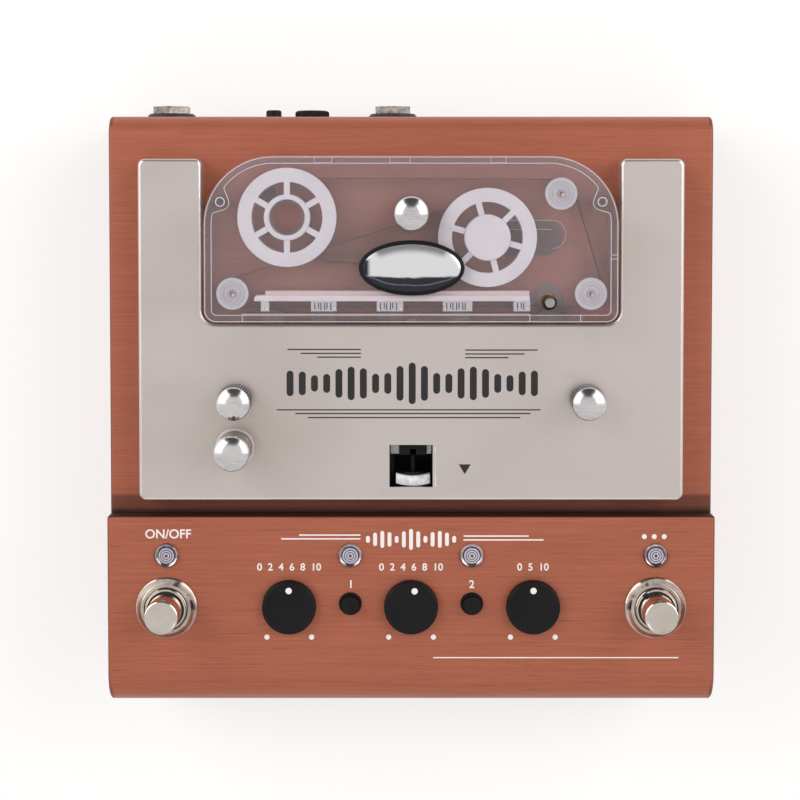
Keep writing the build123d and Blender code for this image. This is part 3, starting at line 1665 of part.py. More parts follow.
finished = {
    "casing_shell": casing_shell,
    "bottom_plate": bottom_plate,
    "bottom_screws": bottom_screws,
    "rubber_feet": rubber_feet,
    "main_board": main_board,
    "control_board": control_board,
    "ribbon_cable": ribbon_cable,
    "footswitch_bodies": footswitch_bodies,
    "footswitch_nuts": footswitch_nuts,
    "onoff_plunger": onoff_plunger,
    "tap_plunger": tap_plunger,
    "led_bezels": led_bezels,
    "led_lenses": led_lenses,
    "pot_bodies": pot_bodies,
    "level_knob": level_knob,
    "feedback_knob": feedback_knob,
    "time_knob": time_knob,
    "push_switches": push_switches,
    "short_button": short_button,
    "long_button": long_button,
    "jack_bodies": jack_bodies,
    "jack_washers": jack_washers,
    "jack_nuts": jack_nuts,
    "dc_inlet": dc_inlet,
    "rear_pot": rear_pot,
    "rear_knob": rear_knob,
    "rear_switch": rear_switch,
    "rear_button": rear_button,
    "deck_cover": deck_cover,
    "cover_posts": cover_posts,
    "thumb_screw_left": thumb_screw_left,
    "thumb_screw_right": thumb_screw_right,
    "release_button": release_button,
    "transport_frame": transport_frame,
    "capstan_housing": capstan_housing,
    "capstan_bush": capstan_bush,
    "capstan_shaft": capstan_shaft,
    "flywheel": flywheel,
    "drive_motor": drive_motor,
    "motor_pulley": motor_pulley,
    "drive_belt": drive_belt,
    "carriage_guides": carriage_guides,
    "lock_crank": lock_crank,
    "lock_lever": lock_lever,
    "head_carriage": head_carriage,
    "tape_heads": tape_heads,
    "pinch_roller": pinch_roller,
    "cartridge_base": cartridge_base,
    "cartridge_lid": cartridge_lid,
    "cartridge_screws": cartridge_screws,
    "pad_rail": pad_rail,
    "cartridge_badge": cartridge_badge,
    "tape_loop": tape_loop,
    "reel_left": reel_left,
    "reel_right": reel_right,
    "roller_front_left": roller_front_left,
    "roller_front_right": roller_front_right,
    "roller_rear_right": roller_rear_right,
    "retaining_bush": retaining_bush,
    "retaining_knob": retaining_knob,
}
for label, piece in finished.items():
    piece.part.label = label
    export_step(piece.part, f"parts/{label}.step")
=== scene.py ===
from math import asin, ceil, cos, hypot, pi, radians, sin

import bmesh
import bpy
from mathutils import Matrix, Vector


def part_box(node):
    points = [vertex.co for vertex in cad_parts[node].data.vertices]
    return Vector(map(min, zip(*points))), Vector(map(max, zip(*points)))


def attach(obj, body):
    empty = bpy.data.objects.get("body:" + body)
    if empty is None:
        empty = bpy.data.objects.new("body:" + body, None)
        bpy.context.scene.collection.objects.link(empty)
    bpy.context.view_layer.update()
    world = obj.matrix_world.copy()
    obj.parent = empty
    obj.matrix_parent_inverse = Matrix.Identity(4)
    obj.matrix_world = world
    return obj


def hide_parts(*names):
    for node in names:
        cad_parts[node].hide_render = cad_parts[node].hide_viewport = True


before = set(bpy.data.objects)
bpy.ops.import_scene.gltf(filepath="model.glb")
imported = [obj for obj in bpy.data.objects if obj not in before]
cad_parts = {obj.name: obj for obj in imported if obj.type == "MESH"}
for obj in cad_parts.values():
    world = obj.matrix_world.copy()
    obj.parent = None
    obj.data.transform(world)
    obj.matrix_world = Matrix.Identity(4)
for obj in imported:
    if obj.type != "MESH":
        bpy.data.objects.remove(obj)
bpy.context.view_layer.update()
mm = 0.001
print("frame loaded:", len(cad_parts), "nodes")


def span(node):
    # lowest and highest corner of a node, in millimetres
    return [Vector(corner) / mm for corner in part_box(node)]


def middle(node):
    low, high = span(node)
    return (low.x + high.x) / 2, (low.y + high.y) / 2


# heights and places that many pieces share
panelDeep = 69.3         # the raised panel, front to back
floorThick = 1.5         # the floor of the cartridge
shellLow, shellHigh = span("casing_shell")
coverLow, coverHigh = span("deck_cover")
caseLow, caseHigh = span("cartridge_base")
lidLow, lidHigh = span("cartridge_lid")
tapeTop = span("tape_loop")[1].z
deckTop, coverTop, panelTop = coverLow.z, coverHigh.z, shellHigh.z
floorTop = caseLow.z + floorThick
caseFront, caseSide, coverFront = shellLow.y, shellHigh.x, coverLow.y
stepWall = caseFront + panelDeep


# shader helpers
class Wire:
    # a node's output that takes part in sums
    def __init__(self, nodes, socket):
        self.nodes, self.socket = nodes, socket

    def maths(self, operation, *values):
        return self.nodes.node("ShaderNodeMath", {"operation": operation}, dict(enumerate(values)))

    def __add__(self, other):
        return self.maths("ADD", self, other)

    def __radd__(self, other):
        return self.maths("ADD", other, self)

    def __sub__(self, other):
        return self.maths("SUBTRACT", self, other)

    def __rsub__(self, other):
        return self.maths("SUBTRACT", other, self)

    def __mul__(self, other):
        return self.maths("MULTIPLY", self, other)

    def __rmul__(self, other):
        return self.maths("MULTIPLY", other, self)

    def __abs__(self):
        return self.maths("ABSOLUTE", self)


def tone(red, green, blue):
    # a screen colour, 0 to 255, as the linear values that a node takes
    def linear(value):
        value /= 255
        return value / 12.92 if value <= 0.04045 else ((value + 0.055) / 1.055) ** 2.4

    return (linear(red), linear(green), linear(blue), 1)


class Nodes:
    # a node tree, with short ways to add to it
    def __init__(self, tree, space):
        self.tree = tree
        self.place = self.node("ShaderNodeTexCoord", {}, {}, space)

    def node(self, kind, settings, sockets, output=0):
        made = self.tree.nodes.new(kind)
        for name, value in settings.items():
            setattr(made, name, value)
        for name, value in sockets.items():
            if isinstance(value, Wire):
                self.tree.links.new(value.socket, made.inputs[name])
            else:
                made.inputs[name].default_value = value
        return Wire(self, made.outputs[output])

    def noise(self, grain, detail=3, roughness=0.55):
        # grain is the size of the blots along x, y and z, in millimetres
        scale = tuple(1 / (value * mm) for value in grain)
        spot = self.node("ShaderNodeVectorMath", {"operation": "MULTIPLY"}, {0: self.place, 1: scale})
        sockets = {"Vector": spot, "Scale": 1, "Detail": detail, "Roughness": roughness}
        return self.node("ShaderNodeTexNoise", {}, sockets)

    def rise(self, value, start, stop, smooth="LINEAR"):
        # 0 at start, 1 at stop
        sockets = {"Value": value, "From Min": start, "From Max": stop}
        return self.node("ShaderNodeMapRange", {"interpolation_type": smooth}, sockets)

    def fade(self, value, start, stop, smooth="LINEAR"):
        # the same for a place in millimetres
        return self.rise(value, start * mm, stop * mm, smooth)

    def axis(self, name):
        return self.node("ShaderNodeSeparateXYZ", {}, {0: self.place}, name)

    def mixed(self, share, first, second):
        return self.node("ShaderNodeMix", {"data_type": "RGBA"}, {0: share, 6: first, 7: second}, 2)

    def layered(self, colour, *layers):
        # each layer is a share and the colour that covers by that share
        for share, cover in layers:
            colour = self.mixed(share, colour, cover)
        return colour

    def bump(self, height, distance, strength):
        sockets = {"Height": height, "Distance": distance * mm, "Strength": strength}
        return self.node("ShaderNodeBump", {}, sockets)


class Finish(Nodes):
    # a material whose shader's constants are given by name
    def __init__(self, name, **constants):
        self.material = bpy.data.materials.new(name)
        self.material.use_nodes = True
        super().__init__(self.material.node_tree, "Object")
        self.shader = self.tree.nodes["Principled BSDF"]
        self.output = self.tree.nodes["Material Output"]
        for name, value in constants.items():
            self.shader.inputs[name.replace("_", " ")].default_value = value

    def feed(self, **sockets):
        for name, value in sockets.items():
            self.tree.links.new(value.socket, self.shader.inputs[name.replace("_", " ")])

    def blend(self, share, entry, other):
        # mixes in another shader, which enters the mix at socket 1 or 2
        mix = self.node("ShaderNodeMixShader", {}, {0: share, entry: other})
        self.tree.links.new(self.shader.outputs[0], mix.socket.node.inputs[3 - entry])
        self.tree.links.new(mix.socket, self.output.inputs["Surface"])


# finishes
def makeCopper():
    look = {
        "colour": tone(171, 97, 72),
        "dark": tone(146, 77, 56),
        "light": tone(191, 118, 92),
        # a dark colour for the scratches, and also the painted shade
        "scratchAndShade": tone(30, 5, 4),
        "streak": (38, 0.42, 0.42),
        "fineStreak": (14, 0.16, 0.16),
        "cloud": (60, 22, 30),
        "scratch": (13, 0.26, 0.26),
        "bend": 0.5,               # how dark the painted shade is on the rounded side edges
        "strip": 0.55,             # and on the strip of deck before the cover
        "bay": 0.9,                # and on the deck under the open front of the cartridge
        "bayMiddle": -1.6,
        "bayHalf": 58.6,
        "bayDeep": 2.9,
        "grooveDeep": 2.2,
    }
    finish = Finish("copper_paint", Metallic=0.35, IOR=1.5)
    across, along, height = (finish.axis(name) for name in "XYZ")
    streak = finish.noise(look["streak"], 4, 0.6)
    fine = finish.noise(look["fineStreak"], 2, 0.5)
    cloud = finish.noise(look["cloud"], 3, 0.5)
    deep = finish.rise(streak * 0.7 + fine * 0.3, 0.62, 0.36)
    bright = finish.rise(streak * 0.5 + fine * 0.5, 0.52, 0.72)
    scratch = finish.rise(finish.noise(look["scratch"], 2, 0.5), 0.63, 0.74)
    # painted shade on the rounded side edges, told from the flats by their slope
    normal = finish.node("ShaderNodeNewGeometry", {}, {}, "Normal")
    upward = finish.node("ShaderNodeSeparateXYZ", {}, {0: normal}, "Z")
    bend = finish.rise(upward, 0.995, 0.80) * finish.rise(upward, 0.02, 0.30)
    bend = bend * finish.fade(abs(across), caseSide - 1.6, caseSide - 1.1)
    # painted shade on the wall between the deck and the panel, and a lighter painted shade on the strip
    # of deck before the cover
    behindStep = finish.fade(along, stepWall - 0.8, stepWall - 0.25)
    overDeck = finish.fade(height, deckTop - 3, deckTop - 1)
    upToDeck = finish.fade(height, deckTop + 0.6, deckTop + 0.2)
    groove = behindStep * finish.fade(along, stepWall + look["grooveDeep"], stepWall - 0.25)
    groove = groove * finish.fade(height, panelTop - 0.02, panelTop - 0.5) * overDeck
    strip = finish.fade(along, coverFront + 1.2, coverFront) * behindStep * upToDeck * overDeck
    # painted shade on the deck under the open front of the cartridge
    front, rear, half = caseLow.y - 1, caseLow.y + look["bayDeep"], look["bayHalf"]
    bay = finish.fade(along, front - 0.2, front) * finish.fade(along, rear + 0.5, rear)
    bay = bay * finish.fade(abs(across - look["bayMiddle"] * mm), half + 0.3, half - 0.3)
    bay = bay * finish.fade(height, deckTop - 0.3, deckTop - 0.1) * upToDeck
    colour = finish.layered(
        look["colour"],
        (deep * 0.55, look["dark"]),
        (bright * 0.45, look["light"]),
        (finish.rise(cloud, 0.45, 0.75) * 0.25, look["dark"]),
        (scratch * 0.45, look["scratchAndShade"]),
        # from here on the layers are painted shade
        (bend * look["bend"], look["scratchAndShade"]),
        (strip * look["strip"], look["scratchAndShade"]),
        (bay * look["bay"], look["scratchAndShade"]),
        (groove, look["scratchAndShade"]),
    )
    finish.feed(
        Base_Color=colour,
        Roughness=0.36 + deep * 0.12 + cloud * 0.12,
        Normal=finish.bump(streak * 0.6 + fine * 0.4, 0.03, 0.35),
    )
    return finish.material


def makeBrushedSteel():
    look = {
        "colour": tone(209, 200, 198),
        "warm": tone(197, 186, 180),
        "smudge": tone(186, 177, 172),
        # the last colour is a painted highlight on the bent front edge
        "edge": tone(250, 240, 226),
        "streak": (9, 0.12, 0.12),
        "cloud": (70, 45, 40),
        "smudgeSize": (9, 7, 7),
    }
    finish = Finish("brushed_steel", Metallic=0.85)
    streak = finish.noise(look["streak"], 3, 0.6)
    cloud = finish.noise(look["cloud"], 2, 0.4)
    smudge = finish.rise(finish.noise(look["smudgeSize"], 4, 0.62), 0.60, 0.74)
    # painted highlight along the bent front edge
    worn = finish.fade(finish.axis("Y"), coverFront + 1.3, coverFront + 0.5)
    worn = worn * finish.fade(finish.axis("Z"), coverTop - 1.6, coverTop - 0.9)
    colour = finish.layered(
        look["colour"],
        (finish.rise(cloud, 0.38, 0.68), look["warm"]),
        (smudge * 0.35, look["smudge"]),
        # painted highlight on the front edge
        (worn, look["edge"]),
    )
    finish.feed(
        Base_Color=colour,
        Roughness=0.24 + streak * 0.10 + smudge * 0.14,
        Normal=finish.bump(streak, 0.01, 0.25),
    )
    return finish.material


def makeMetal(name, colour, worn, roughness, grain, metallic=1.0):
    finish = Finish(name, Metallic=metallic)
    mottle = finish.noise(grain, 4, 0.6)
    haze = finish.noise([6 * size for size in grain], 2, 0.5)
    share = finish.rise(mottle * 0.5 + haze * 0.5, 0.42, 0.68)
    finish.feed(
        Base_Color=finish.mixed(share, tone(*colour), tone(*worn)),
        Roughness=roughness + mottle * 0.10 + haze * 0.06,
        Normal=finish.bump(mottle, 0.006, 0.3),
    )
    return finish.material


def makePlastic(name, colour, worn, roughness, grain, depth=0.02, shine=0.5):
    finish = Finish(name, IOR=1.49, Specular_IOR_Level=shine)
    pebble = finish.noise(grain, 3, 0.6)
    patch = finish.noise((14, 14, 14), 3, 0.5)
    share = finish.rise(patch, 0.40, 0.70) * 0.6
    finish.feed(
        Base_Color=finish.mixed(share, tone(*colour), tone(*worn)),
        Roughness=roughness + patch * 0.12,
        Normal=finish.bump(pebble, depth, 0.35),
    )
    return finish.material


def makeClear(name, tint, haze, body, rough=0.06):
    # thin clear plastic: what is behind it shows through, more shine where it is seen edge on
    finish = Finish(name, Base_Color=tone(*body), IOR=1.47, Roughness=rough)
    finish.feed(Normal=finish.bump(finish.noise((16, 16, 16), 2, 0.4), 0.06, 0.2))
    clear = finish.node("ShaderNodeBsdfTransparent", {}, {"Color": (*tint, 1)})
    facing = finish.node("ShaderNodeLayerWeight", {}, {"Blend": 0.5}, "Facing")
    shine = facing * facing * facing * facing * 0.5 + 0.035
    scuff = finish.rise(finish.noise((5, 5, 5), 4, 0.6), 0.60, 0.78)
    finish.blend(shine + scuff * 0.02 + haze, 1, clear)
    return finish.material


def makeBadgeFace():
    # polished dome with a painted reflection of the dark over its front third and its left end, and a
    # lighter painted line
    look = {
        "light": tone(234, 234, 238),
        "dark": tone(50, 52, 62),
        "line": tone(150, 152, 160),
        "front": 7.8,              # how far back the painted reflection of the dark reaches from the badge's front
        "leftEndReflection": -14.6,
        "lineAt": (4.0, 4.7),
        "curve": 2,                # how the edge of the painted dark and the painted line bend, per metre
        "lineCurve": 14,
    }
    low, high = span("cartridge_badge")
    finish = Finish("badge_metal", Metallic=0.8)
    ripple = finish.noise((7, 2.5, 2), 3, 0.5)
    height = finish.axis("Y") + ripple * 0.0016
    across = finish.axis("X") - (low.x + high.x) / 2 * mm
    front = low.y + look["front"]
    # painted reflection of the dark over the front third
    dark = finish.fade(height - across * across * look["curve"], front, front - 0.8, "SMOOTHSTEP")
    leftEndReflection = finish.fade(across, look["leftEndReflection"], look["leftEndReflection"] - 1.4)
    leftEndReflection = leftEndReflection * finish.fade(height, front + 7, front + 5.5)
    # a lighter painted line in the painted reflection
    arc = height - across * across * look["lineCurve"]
    near, far = (low.y + reach for reach in look["lineAt"])
    line = finish.fade(arc, far, far - 0.3) * finish.fade(arc, near, near + 0.3)
    dark = dark.maths("MAXIMUM", dark, leftEndReflection)
    colour = finish.layered(look["light"], (dark, look["dark"]), (line * 0.5, look["line"]))
    finish.feed(
        Base_Color=colour,
        Roughness=0.05 + ripple * 0.08,
        Normal=finish.bump(ripple, 0.02, 0.2),
    )
    return finish.material


# colour, worn colour, roughness, grain; then how metallic, where it isn't wholly
metals = {
    "bright_chrome": ((222, 215, 207), (206, 197, 187), 0.04, (9, 9, 9)),
    "satin_metal": ((238, 239, 243), (150, 152, 158), 0.34, (1.6, 1.6, 1.6), 0.25),
    "satin_chrome": ((222, 219, 221), (196, 192, 195), 0.1, (3, 0.6, 3)),
    "knurl_metal": ((206, 202, 200), (150, 146, 144), 0.26, (1, 1, 1)),
    # a darker copy of the chrome: painted shade on the release button's side wall
    "wall_metal": ((142, 132, 122), (84, 76, 70), 0.16, (5, 5, 9)),
    # a darkened metal, painted shade on the heads and their carriage
    "dark_cast": ((74, 66, 64), (26, 22, 22), 0.5, (0.7, 0.7, 0.7), 0.4),
    "bezel_chrome": ((206, 198, 206), (38, 30, 40), 0.07, (2.6, 2.6, 2.6)),
    "nut_chrome": ((214, 203, 193), (126, 98, 86), 0.05, (6, 6, 6)),
    "nut_metal": ((138, 132, 126), (12, 11, 11), 0.2, (2.2, 1.6, 1.6)),
    "plain_steel": ((176, 174, 172), (150, 147, 144), 0.26, (2, 2, 0.4)),
    "black_metal": ((38, 36, 38), (60, 57, 56), 0.42, (0.8, 0.8, 0.8), 0.3),
    "grey_metal": ((112, 110, 116), (92, 90, 96), 0.38, (1, 1, 1), 0.6),
    "bronze": ((186, 142, 84), (150, 108, 60), 0.24, (1.5, 1.5, 1.5)),
}
# colour, worn colour, roughness, grain; then the grain's depth and the shine, where they differ
plastics = {
    "black_plastic": ((12, 10, 12), (24, 21, 23), 0.44, (0.6, 0.6, 0.6), 0.02, 0.2),
    "rubber": ((28, 27, 28), (44, 43, 43), 0.72, (0.5, 0.5, 0.5), 0.05),
    "white_plastic": ((212, 213, 222), (200, 201, 212), 0.34, (1, 1, 1)),
    "natural_plastic": ((214, 209, 217), (196, 190, 203), 0.24, (2, 2, 2)),
    "tape_brown": ((46, 28, 24), (66, 42, 36), 0.22, (0.3, 0.3, 4), 0.01),
    "board_green": ((24, 74, 48), (34, 92, 60), 0.40, (0.8, 0.8, 3), 0.03),
    "ribbon_grey": ((150, 150, 152), (120, 120, 124), 0.5, (0.6, 40, 40), 0.12),
    "lens_core": ((78, 72, 84), (96, 90, 104), 0.3, (0.6, 0.6, 0.6), 0.01),
    "lens_ring": ((206, 196, 208), (186, 176, 190), 0.2, (0.5, 0.5, 0.5), 0.01),
    "ink_black": ((22, 18, 20), (34, 30, 31), 0.35, (0.4, 0.4, 0.4), 0.01),
    "ink_white": ((234, 228, 226), (222, 214, 210), 0.45, (0.4, 0.4, 0.4), 0.01),
    "felt": ((232, 230, 228), (214, 210, 206), 0.9, (0.25, 0.25, 0.25), 0.12),
}
# tint, haze, colour of the shine; then its roughness, where it differs
clears = {
    "clear_plastic": ((1.0, 0.985, 0.985), 0.04, (216, 202, 206)),
    "lens_plastic": ((0.90, 0.90, 0.93), 0.06, (214, 214, 226)),
    # the whitish clear plastic of the painted highlights along edges
    "case_edge": ((0.97, 0.94, 0.95), 0.66, (244, 226, 230), 0.12),
    "frosted": ((0.96, 0.95, 0.96), 0.52, (224, 228, 238), 0.22),
}
finishes = {
    "copper_paint": makeCopper(),
    "brushed_steel": makeBrushedSteel(),
    "badge_metal": makeBadgeFace(),
}
for make, table in ((makeMetal, metals), (makePlastic, plastics), (makeClear, clears)):
    finishes.update({name: make(name, *look) for name, look in table.items()})

# nodes that stay as they are take the finish that their material names, but for these; the heads and
# their carriage take a darkened metal, as painted shade
otherFinish = {"head_carriage": "dark_cast", "tape_heads": "dark_cast", "jack_nuts": "nut_metal"}
for name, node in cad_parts.items():
    for holder in node.material_slots:
        holder.material = finishes[otherFinish.get(name, holder.material.name.split(".")[0])]
print("finishes made:", len(finishes))


# mesh helpers
class Form:
    weld = 0.0015        # millimetres within which points are joined
    bold = 0.07          # by which letters are thickened

    def __init__(self):
        self.mesh = bmesh.new()

    def point(self, x, y, z):
        return self.mesh.verts.new((x * mm, y * mm, z * mm))

    def skin(self, rings, loop=False):
        # faces from each ring of points to the next; a ring of one point is a tip
        steps = max(len(ring) for ring in rings)
        pairs = list(zip(rings, rings[1:] + rings[:1]))
        for low, high in pairs if loop else pairs[:-1]:
            for step in range(steps):
                after = (step + 1) % steps
                corners = [low[step % len(low)], low[after % len(low)]]
                corners += [high[after % len(high)], high[step % len(high)]]
                face = list(dict.fromkeys(corners))
                if len(face) > 2:
                    self.mesh.faces.new(face)
        return self

    def turned(self, a, b, profile, steps=96, knurl=None, along="z", loop=False):
        # profile of (radius, height) turned about an upright axis at x=a, y=b,
        # or along "y" about an axis at x=a, z=b; knurl is (teeth, depth, low, high)
        wave = (0, 0.5, 1, 0.5)
        if knurl:
            steps = knurl[0] * len(wave)
        rings = []
        for radius, height in profile:
            ring = []
            for step in range(steps if radius else 1):
                turn = 2 * pi * step / steps
                reach = radius
                if knurl and knurl[2] <= height <= knurl[3]:
                    reach -= knurl[1] * wave[step % len(wave)]
                x, other = a + reach * cos(turn), b + reach * sin(turn)
                spot = (x, other, height) if along == "z" else (x, height, other)
                ring.append(self.point(*spot))
            rings.append(ring)
        return self.skin(rings, loop)

    def take(self, curve, rise=0.0, x=0.0, y=0.0):
        holder = bpy.data.objects.new("plan", curve)
        made = bpy.data.meshes.new_from_object(holder)
        made.transform(Matrix.Translation((x * mm, y * mm, rise * mm)))
        self.mesh.from_mesh(made)
        bpy.data.objects.remove(holder)
        bpy.data.curves.remove(curve)
        bpy.data.meshes.remove(made)
        return self

    def line(self, curve, points, closed):
        spline = curve.splines.new("POLY")
        spline.points.add(len(points) - 1)
        for control, (x, y, z) in zip(spline.points, points):
            control.co = (x * mm, y * mm, z * mm, 1)
        spline.use_cyclic_u = closed

    def plate(self, loops, low, high, edge=0.0, steps=2):
        # flat piece between two heights: the first loop is its outline, the others are holes
        curve = bpy.data.curves.new("plan", "CURVE")
        curve.dimensions, curve.fill_mode = "2D", "BOTH"
        curve.extrude = ((high - low) / 2 - edge) * mm
        curve.bevel_depth, curve.bevel_resolution, curve.offset = edge * mm, steps, -edge * mm
        for index, loop in enumerate(loops):
            area = sum(a[0] * b[1] - b[0] * a[1] for a, b in zip(loop, loop[1:] + loop[:1]))
            if (area < 0) == (index == 0):
                loop = loop[::-1]
            self.line(curve, [(x, y, 0) for x, y in loop], True)
        return self.take(curve, (low + high) / 2)

    def rod(self, points, radius, closed=False):
        curve = bpy.data.curves.new("line", "CURVE")
        curve.dimensions = "3D"
        curve.bevel_depth, curve.bevel_resolution = radius * mm, 2
        curve.use_fill_caps = not closed
        self.line(curve, points, closed)
        return self.take(curve)

    def words(self, text, x, y, z, size, thick):
        curve = bpy.data.curves.new("words", "FONT")
        curve.body, curve.size = text, size * mm
        curve.align_x, curve.align_y = "CENTER", "CENTER"
        curve.extrude, curve.offset = thick * mm / 2, self.bold * mm
        return self.take(curve, z, x, y)

    def piece(self, name, body, finish, slot, stands=(), smooth=32):
        bmesh.ops.remove_doubles(self.mesh, verts=self.mesh.verts, dist=self.weld * mm)
        bmesh.ops.recalc_face_normals(self.mesh, faces=self.mesh.faces)
        mesh = bpy.data.meshes.new(name)
        self.mesh.to_mesh(mesh)
        self.mesh.free()
        mesh.shade_smooth()
        mesh.set_sharp_from_angle(angle=radians(smooth))
        mesh.materials.append(finishes[finish])
        made = bpy.data.objects.new(name, mesh)
        bpy.context.scene.collection.objects.link(made)
        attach(made, body)
        if stands:
            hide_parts(*stands)


def lifted(foot, *profile):
    # a profile whose heights are counted from a foot
    return [(radius, foot + height) for radius, height in profile]


def dome(radius, foot, height, steps):
    # profile of a dome from its rim to its top
    turns = [pi / 2 * step / steps for step in range(steps)]
    return [(radius * cos(turn), foot + height * sin(turn)) for turn in turns] + [(0, foot + height)]


def circle(x, y, radius, steps):
    turns = [2 * pi * step / steps for step in range(steps)]
    return [(x + radius * cos(turn), y + radius * sin(turn)) for turn in turns]


def box(x0, x1, y0, y1):
    return [(x0, y0), (x1, y0), (x1, y1), (x0, y1)]


def lozenge(x0, x1, y0, y1, steps=12):
    # bar with half-round ends
    radius = (y1 - y0) / 2
    turns = [pi * step / steps for step in range(steps + 1)]
    right = [(x1 - radius + radius * sin(turn), y0 + radius - radius * cos(turn)) for turn in turns]
    left = [(x0 + radius - radius * sin(turn), y0 + radius + radius * cos(turn)) for turn in turns]
    return right + left


def lozengeUp(x, y, wide, tall):
    # the same bar standing upright
    flat = lozenge(-tall / 2, tall / 2, -wide / 2, wide / 2, 8)
    return [(x - across, y + along) for along, across in flat]


def casePlan(inset, step=0.8):
    # outline of the cartridge seen from above, moved inwards
    rear, front = 25.0 - inset, 4.5 - inset        # radii of the corners
    x0, x1 = caseLow.x + inset, caseHigh.x - inset
    y0, y1 = caseLow.y + inset, caseHigh.y - inset
    bends = []
    for x, y, radius, start in (
        (x1 - front, y0 + front, front, -90),
        (x1 - rear, y1 - rear, rear, 0),
        (x0 + rear, y1 - rear, rear, 90),
        (x0 + front, y0 + front, front, 180),
    ):
        count = max(6, ceil(radius * pi / 2 / step))
        turns = [radians(start + 90 * index / count) for index in range(count + 1)]
        bends.append([(x + radius * cos(turn), y + radius * sin(turn)) for turn in turns])
    outline = []
    for bend, after in zip(bends, bends[1:] + bends[:1]):
        outline += bend
        (xa, ya), (xb, yb) = bend[-1], after[0]
        count = max(2, ceil(hypot(xb - xa, yb - ya) / step))
        shares = [index / count for index in range(1, count)]
        outline += [(xa + (xb - xa) * share, ya + (yb - ya) * share) for share in shares]
    return outline


# thumb screws and retaining knob
headLook = {
    "teeth": 42,
    "toothDepth": 0.6,
    "edgeTall": 0.7,           # how far the teeth run up the dome
    "groove": 0.3,             # half the height of the groove round the wall
    "grooveAt": 0.62,          # its place up the wall
    "domeTall": 3.0,
    "rim": 0.42,               # depth of the groove and the chamfers
    "shade": 0.26,             # a black band this far in is painted shade between the teeth
    "pitch": 0.7,              # of the thread
    "threadDepth": 0.3,
}


def makeHead(name, node, body, seat, shaft):
    look = headLook
    low, high = span(node)
    x, y = middle(node)
    radius = (high.x - low.x) / 2
    rim, shade = radius - look["rim"], radius - look["shade"]
    domeFoot = high.z - look["domeTall"]
    knurlTop = domeFoot - 0.15
    groove = seat + (knurlTop - seat) * look["grooveAt"]
    grooveTop = groove + 2 * look["groove"]
    threads, thread = [], low.z + 0.6
    while thread < seat - 4:
        threads += [(shaft - look["threadDepth"], thread), (shaft, thread + look["pitch"] / 2)]
        thread += look["pitch"]
    wall = [
        (0, low.z), (shaft - 0.6, low.z), *threads, (shaft - 0.1, thread), (shaft - 0.1, seat),
        (rim, seat), (radius, seat + 0.4), (radius, groove), (rim, groove + 0.15),
        (rim, grooveTop - 0.15), (radius, grooveTop), (radius, knurlTop - 0.4),
        (radius - 0.1, knurlTop), (rim, knurlTop + 0.05), (rim - 0.5, knurlTop + 0.05),
    ]
    knurl = (look["teeth"], look["toothDepth"], seat + 0.3, knurlTop + 0.05)
    Form().turned(x, y, wall, knurl=knurl).piece(name, body, "knurl_metal", "bright_chrome", [node], 40)
    crown = [(rim - 0.1, knurlTop - 0.3), *dome(radius - 0.12, domeFoot, look["domeTall"], 14)]
    knurl = (look["teeth"], look["toothDepth"], domeFoot - 0.05, domeFoot + look["edgeTall"])
    form = Form().turned(x, y, crown, knurl=knurl)
    form.piece(f"{name}_crown", body, "satin_chrome", "bright_chrome", smooth=40)
    # a black band inside the teeth, painted shade in the valleys of the knurl
    inner, foot = rim - 0.9, seat + 0.35
    band = [(inner, foot), (shade, foot), (shade, knurlTop - 0.3), (inner, knurlTop - 0.1)]
    form = Form().turned(x, y, band, 72, loop=True)
    form.piece(f"{name}_valleys", body, "black_plastic", "black_metal")


for side in ("left", "right"):
    makeHead(f"thumb_{side}", f"thumb_screw_{side}", f"{side}_thumb", coverTop + 0.3, 2.5)
makeHead("retainer", "retaining_knob", "retainer", lidHigh.z + 0.3, 1.5)


# release button and its collar
def makeRelease():
    look = {
        "stem": 2.5, "shoulder": 5.5, "wall": 6.0, "rim": 0.8, "domeTall": 2.4, "edge": 0.15,
        "collar": (6.06, 7.0),
    }
    low, high = span("release_button")
    x, y = middle("release_button")
    radius = (high.x - low.x) / 2
    stem, wall, edge = look["stem"], look["wall"], look["edge"]
    domeFoot = high.z - look["domeTall"]
    rim = domeFoot - look["rim"]
    shoulder = coverTop - look["shoulder"]
    body = [
        (0, low.z), (stem - 0.3, low.z), (stem, low.z + 0.3), (stem, shoulder), (wall - 0.2, shoulder),
        (wall, shoulder + 0.2), (wall, rim), (radius - edge, rim),
    ]
    form = Form().turned(x, y, body, 128)
    # the side wall takes the darker chrome, as painted shade
    form.piece("release_wall", "release", "wall_metal", "bright_chrome", ["release_button"], 40)
    inner, outer = look["collar"]
    collar = lifted(
        coverTop, (inner, -0.5), (outer, -0.5), (outer, 0.02), (outer - 0.1, 0.06), (inner, 0.06)
    )
    form = Form().turned(x, y, collar, 96, loop=True)
    form.piece("release_collar", "housing", "brushed_steel", "brushed_steel", smooth=40)
    face = lifted(rim, (wall - 0.3, 0.02), (radius - edge, 0.02), (radius, edge))
    form = Form().turned(x, y, face + dome(radius, domeFoot, look["domeTall"], 18), 128)
    form.piece("release_face", "release", "satin_chrome", "bright_chrome", smooth=40)


makeRelease()
print("heads made")


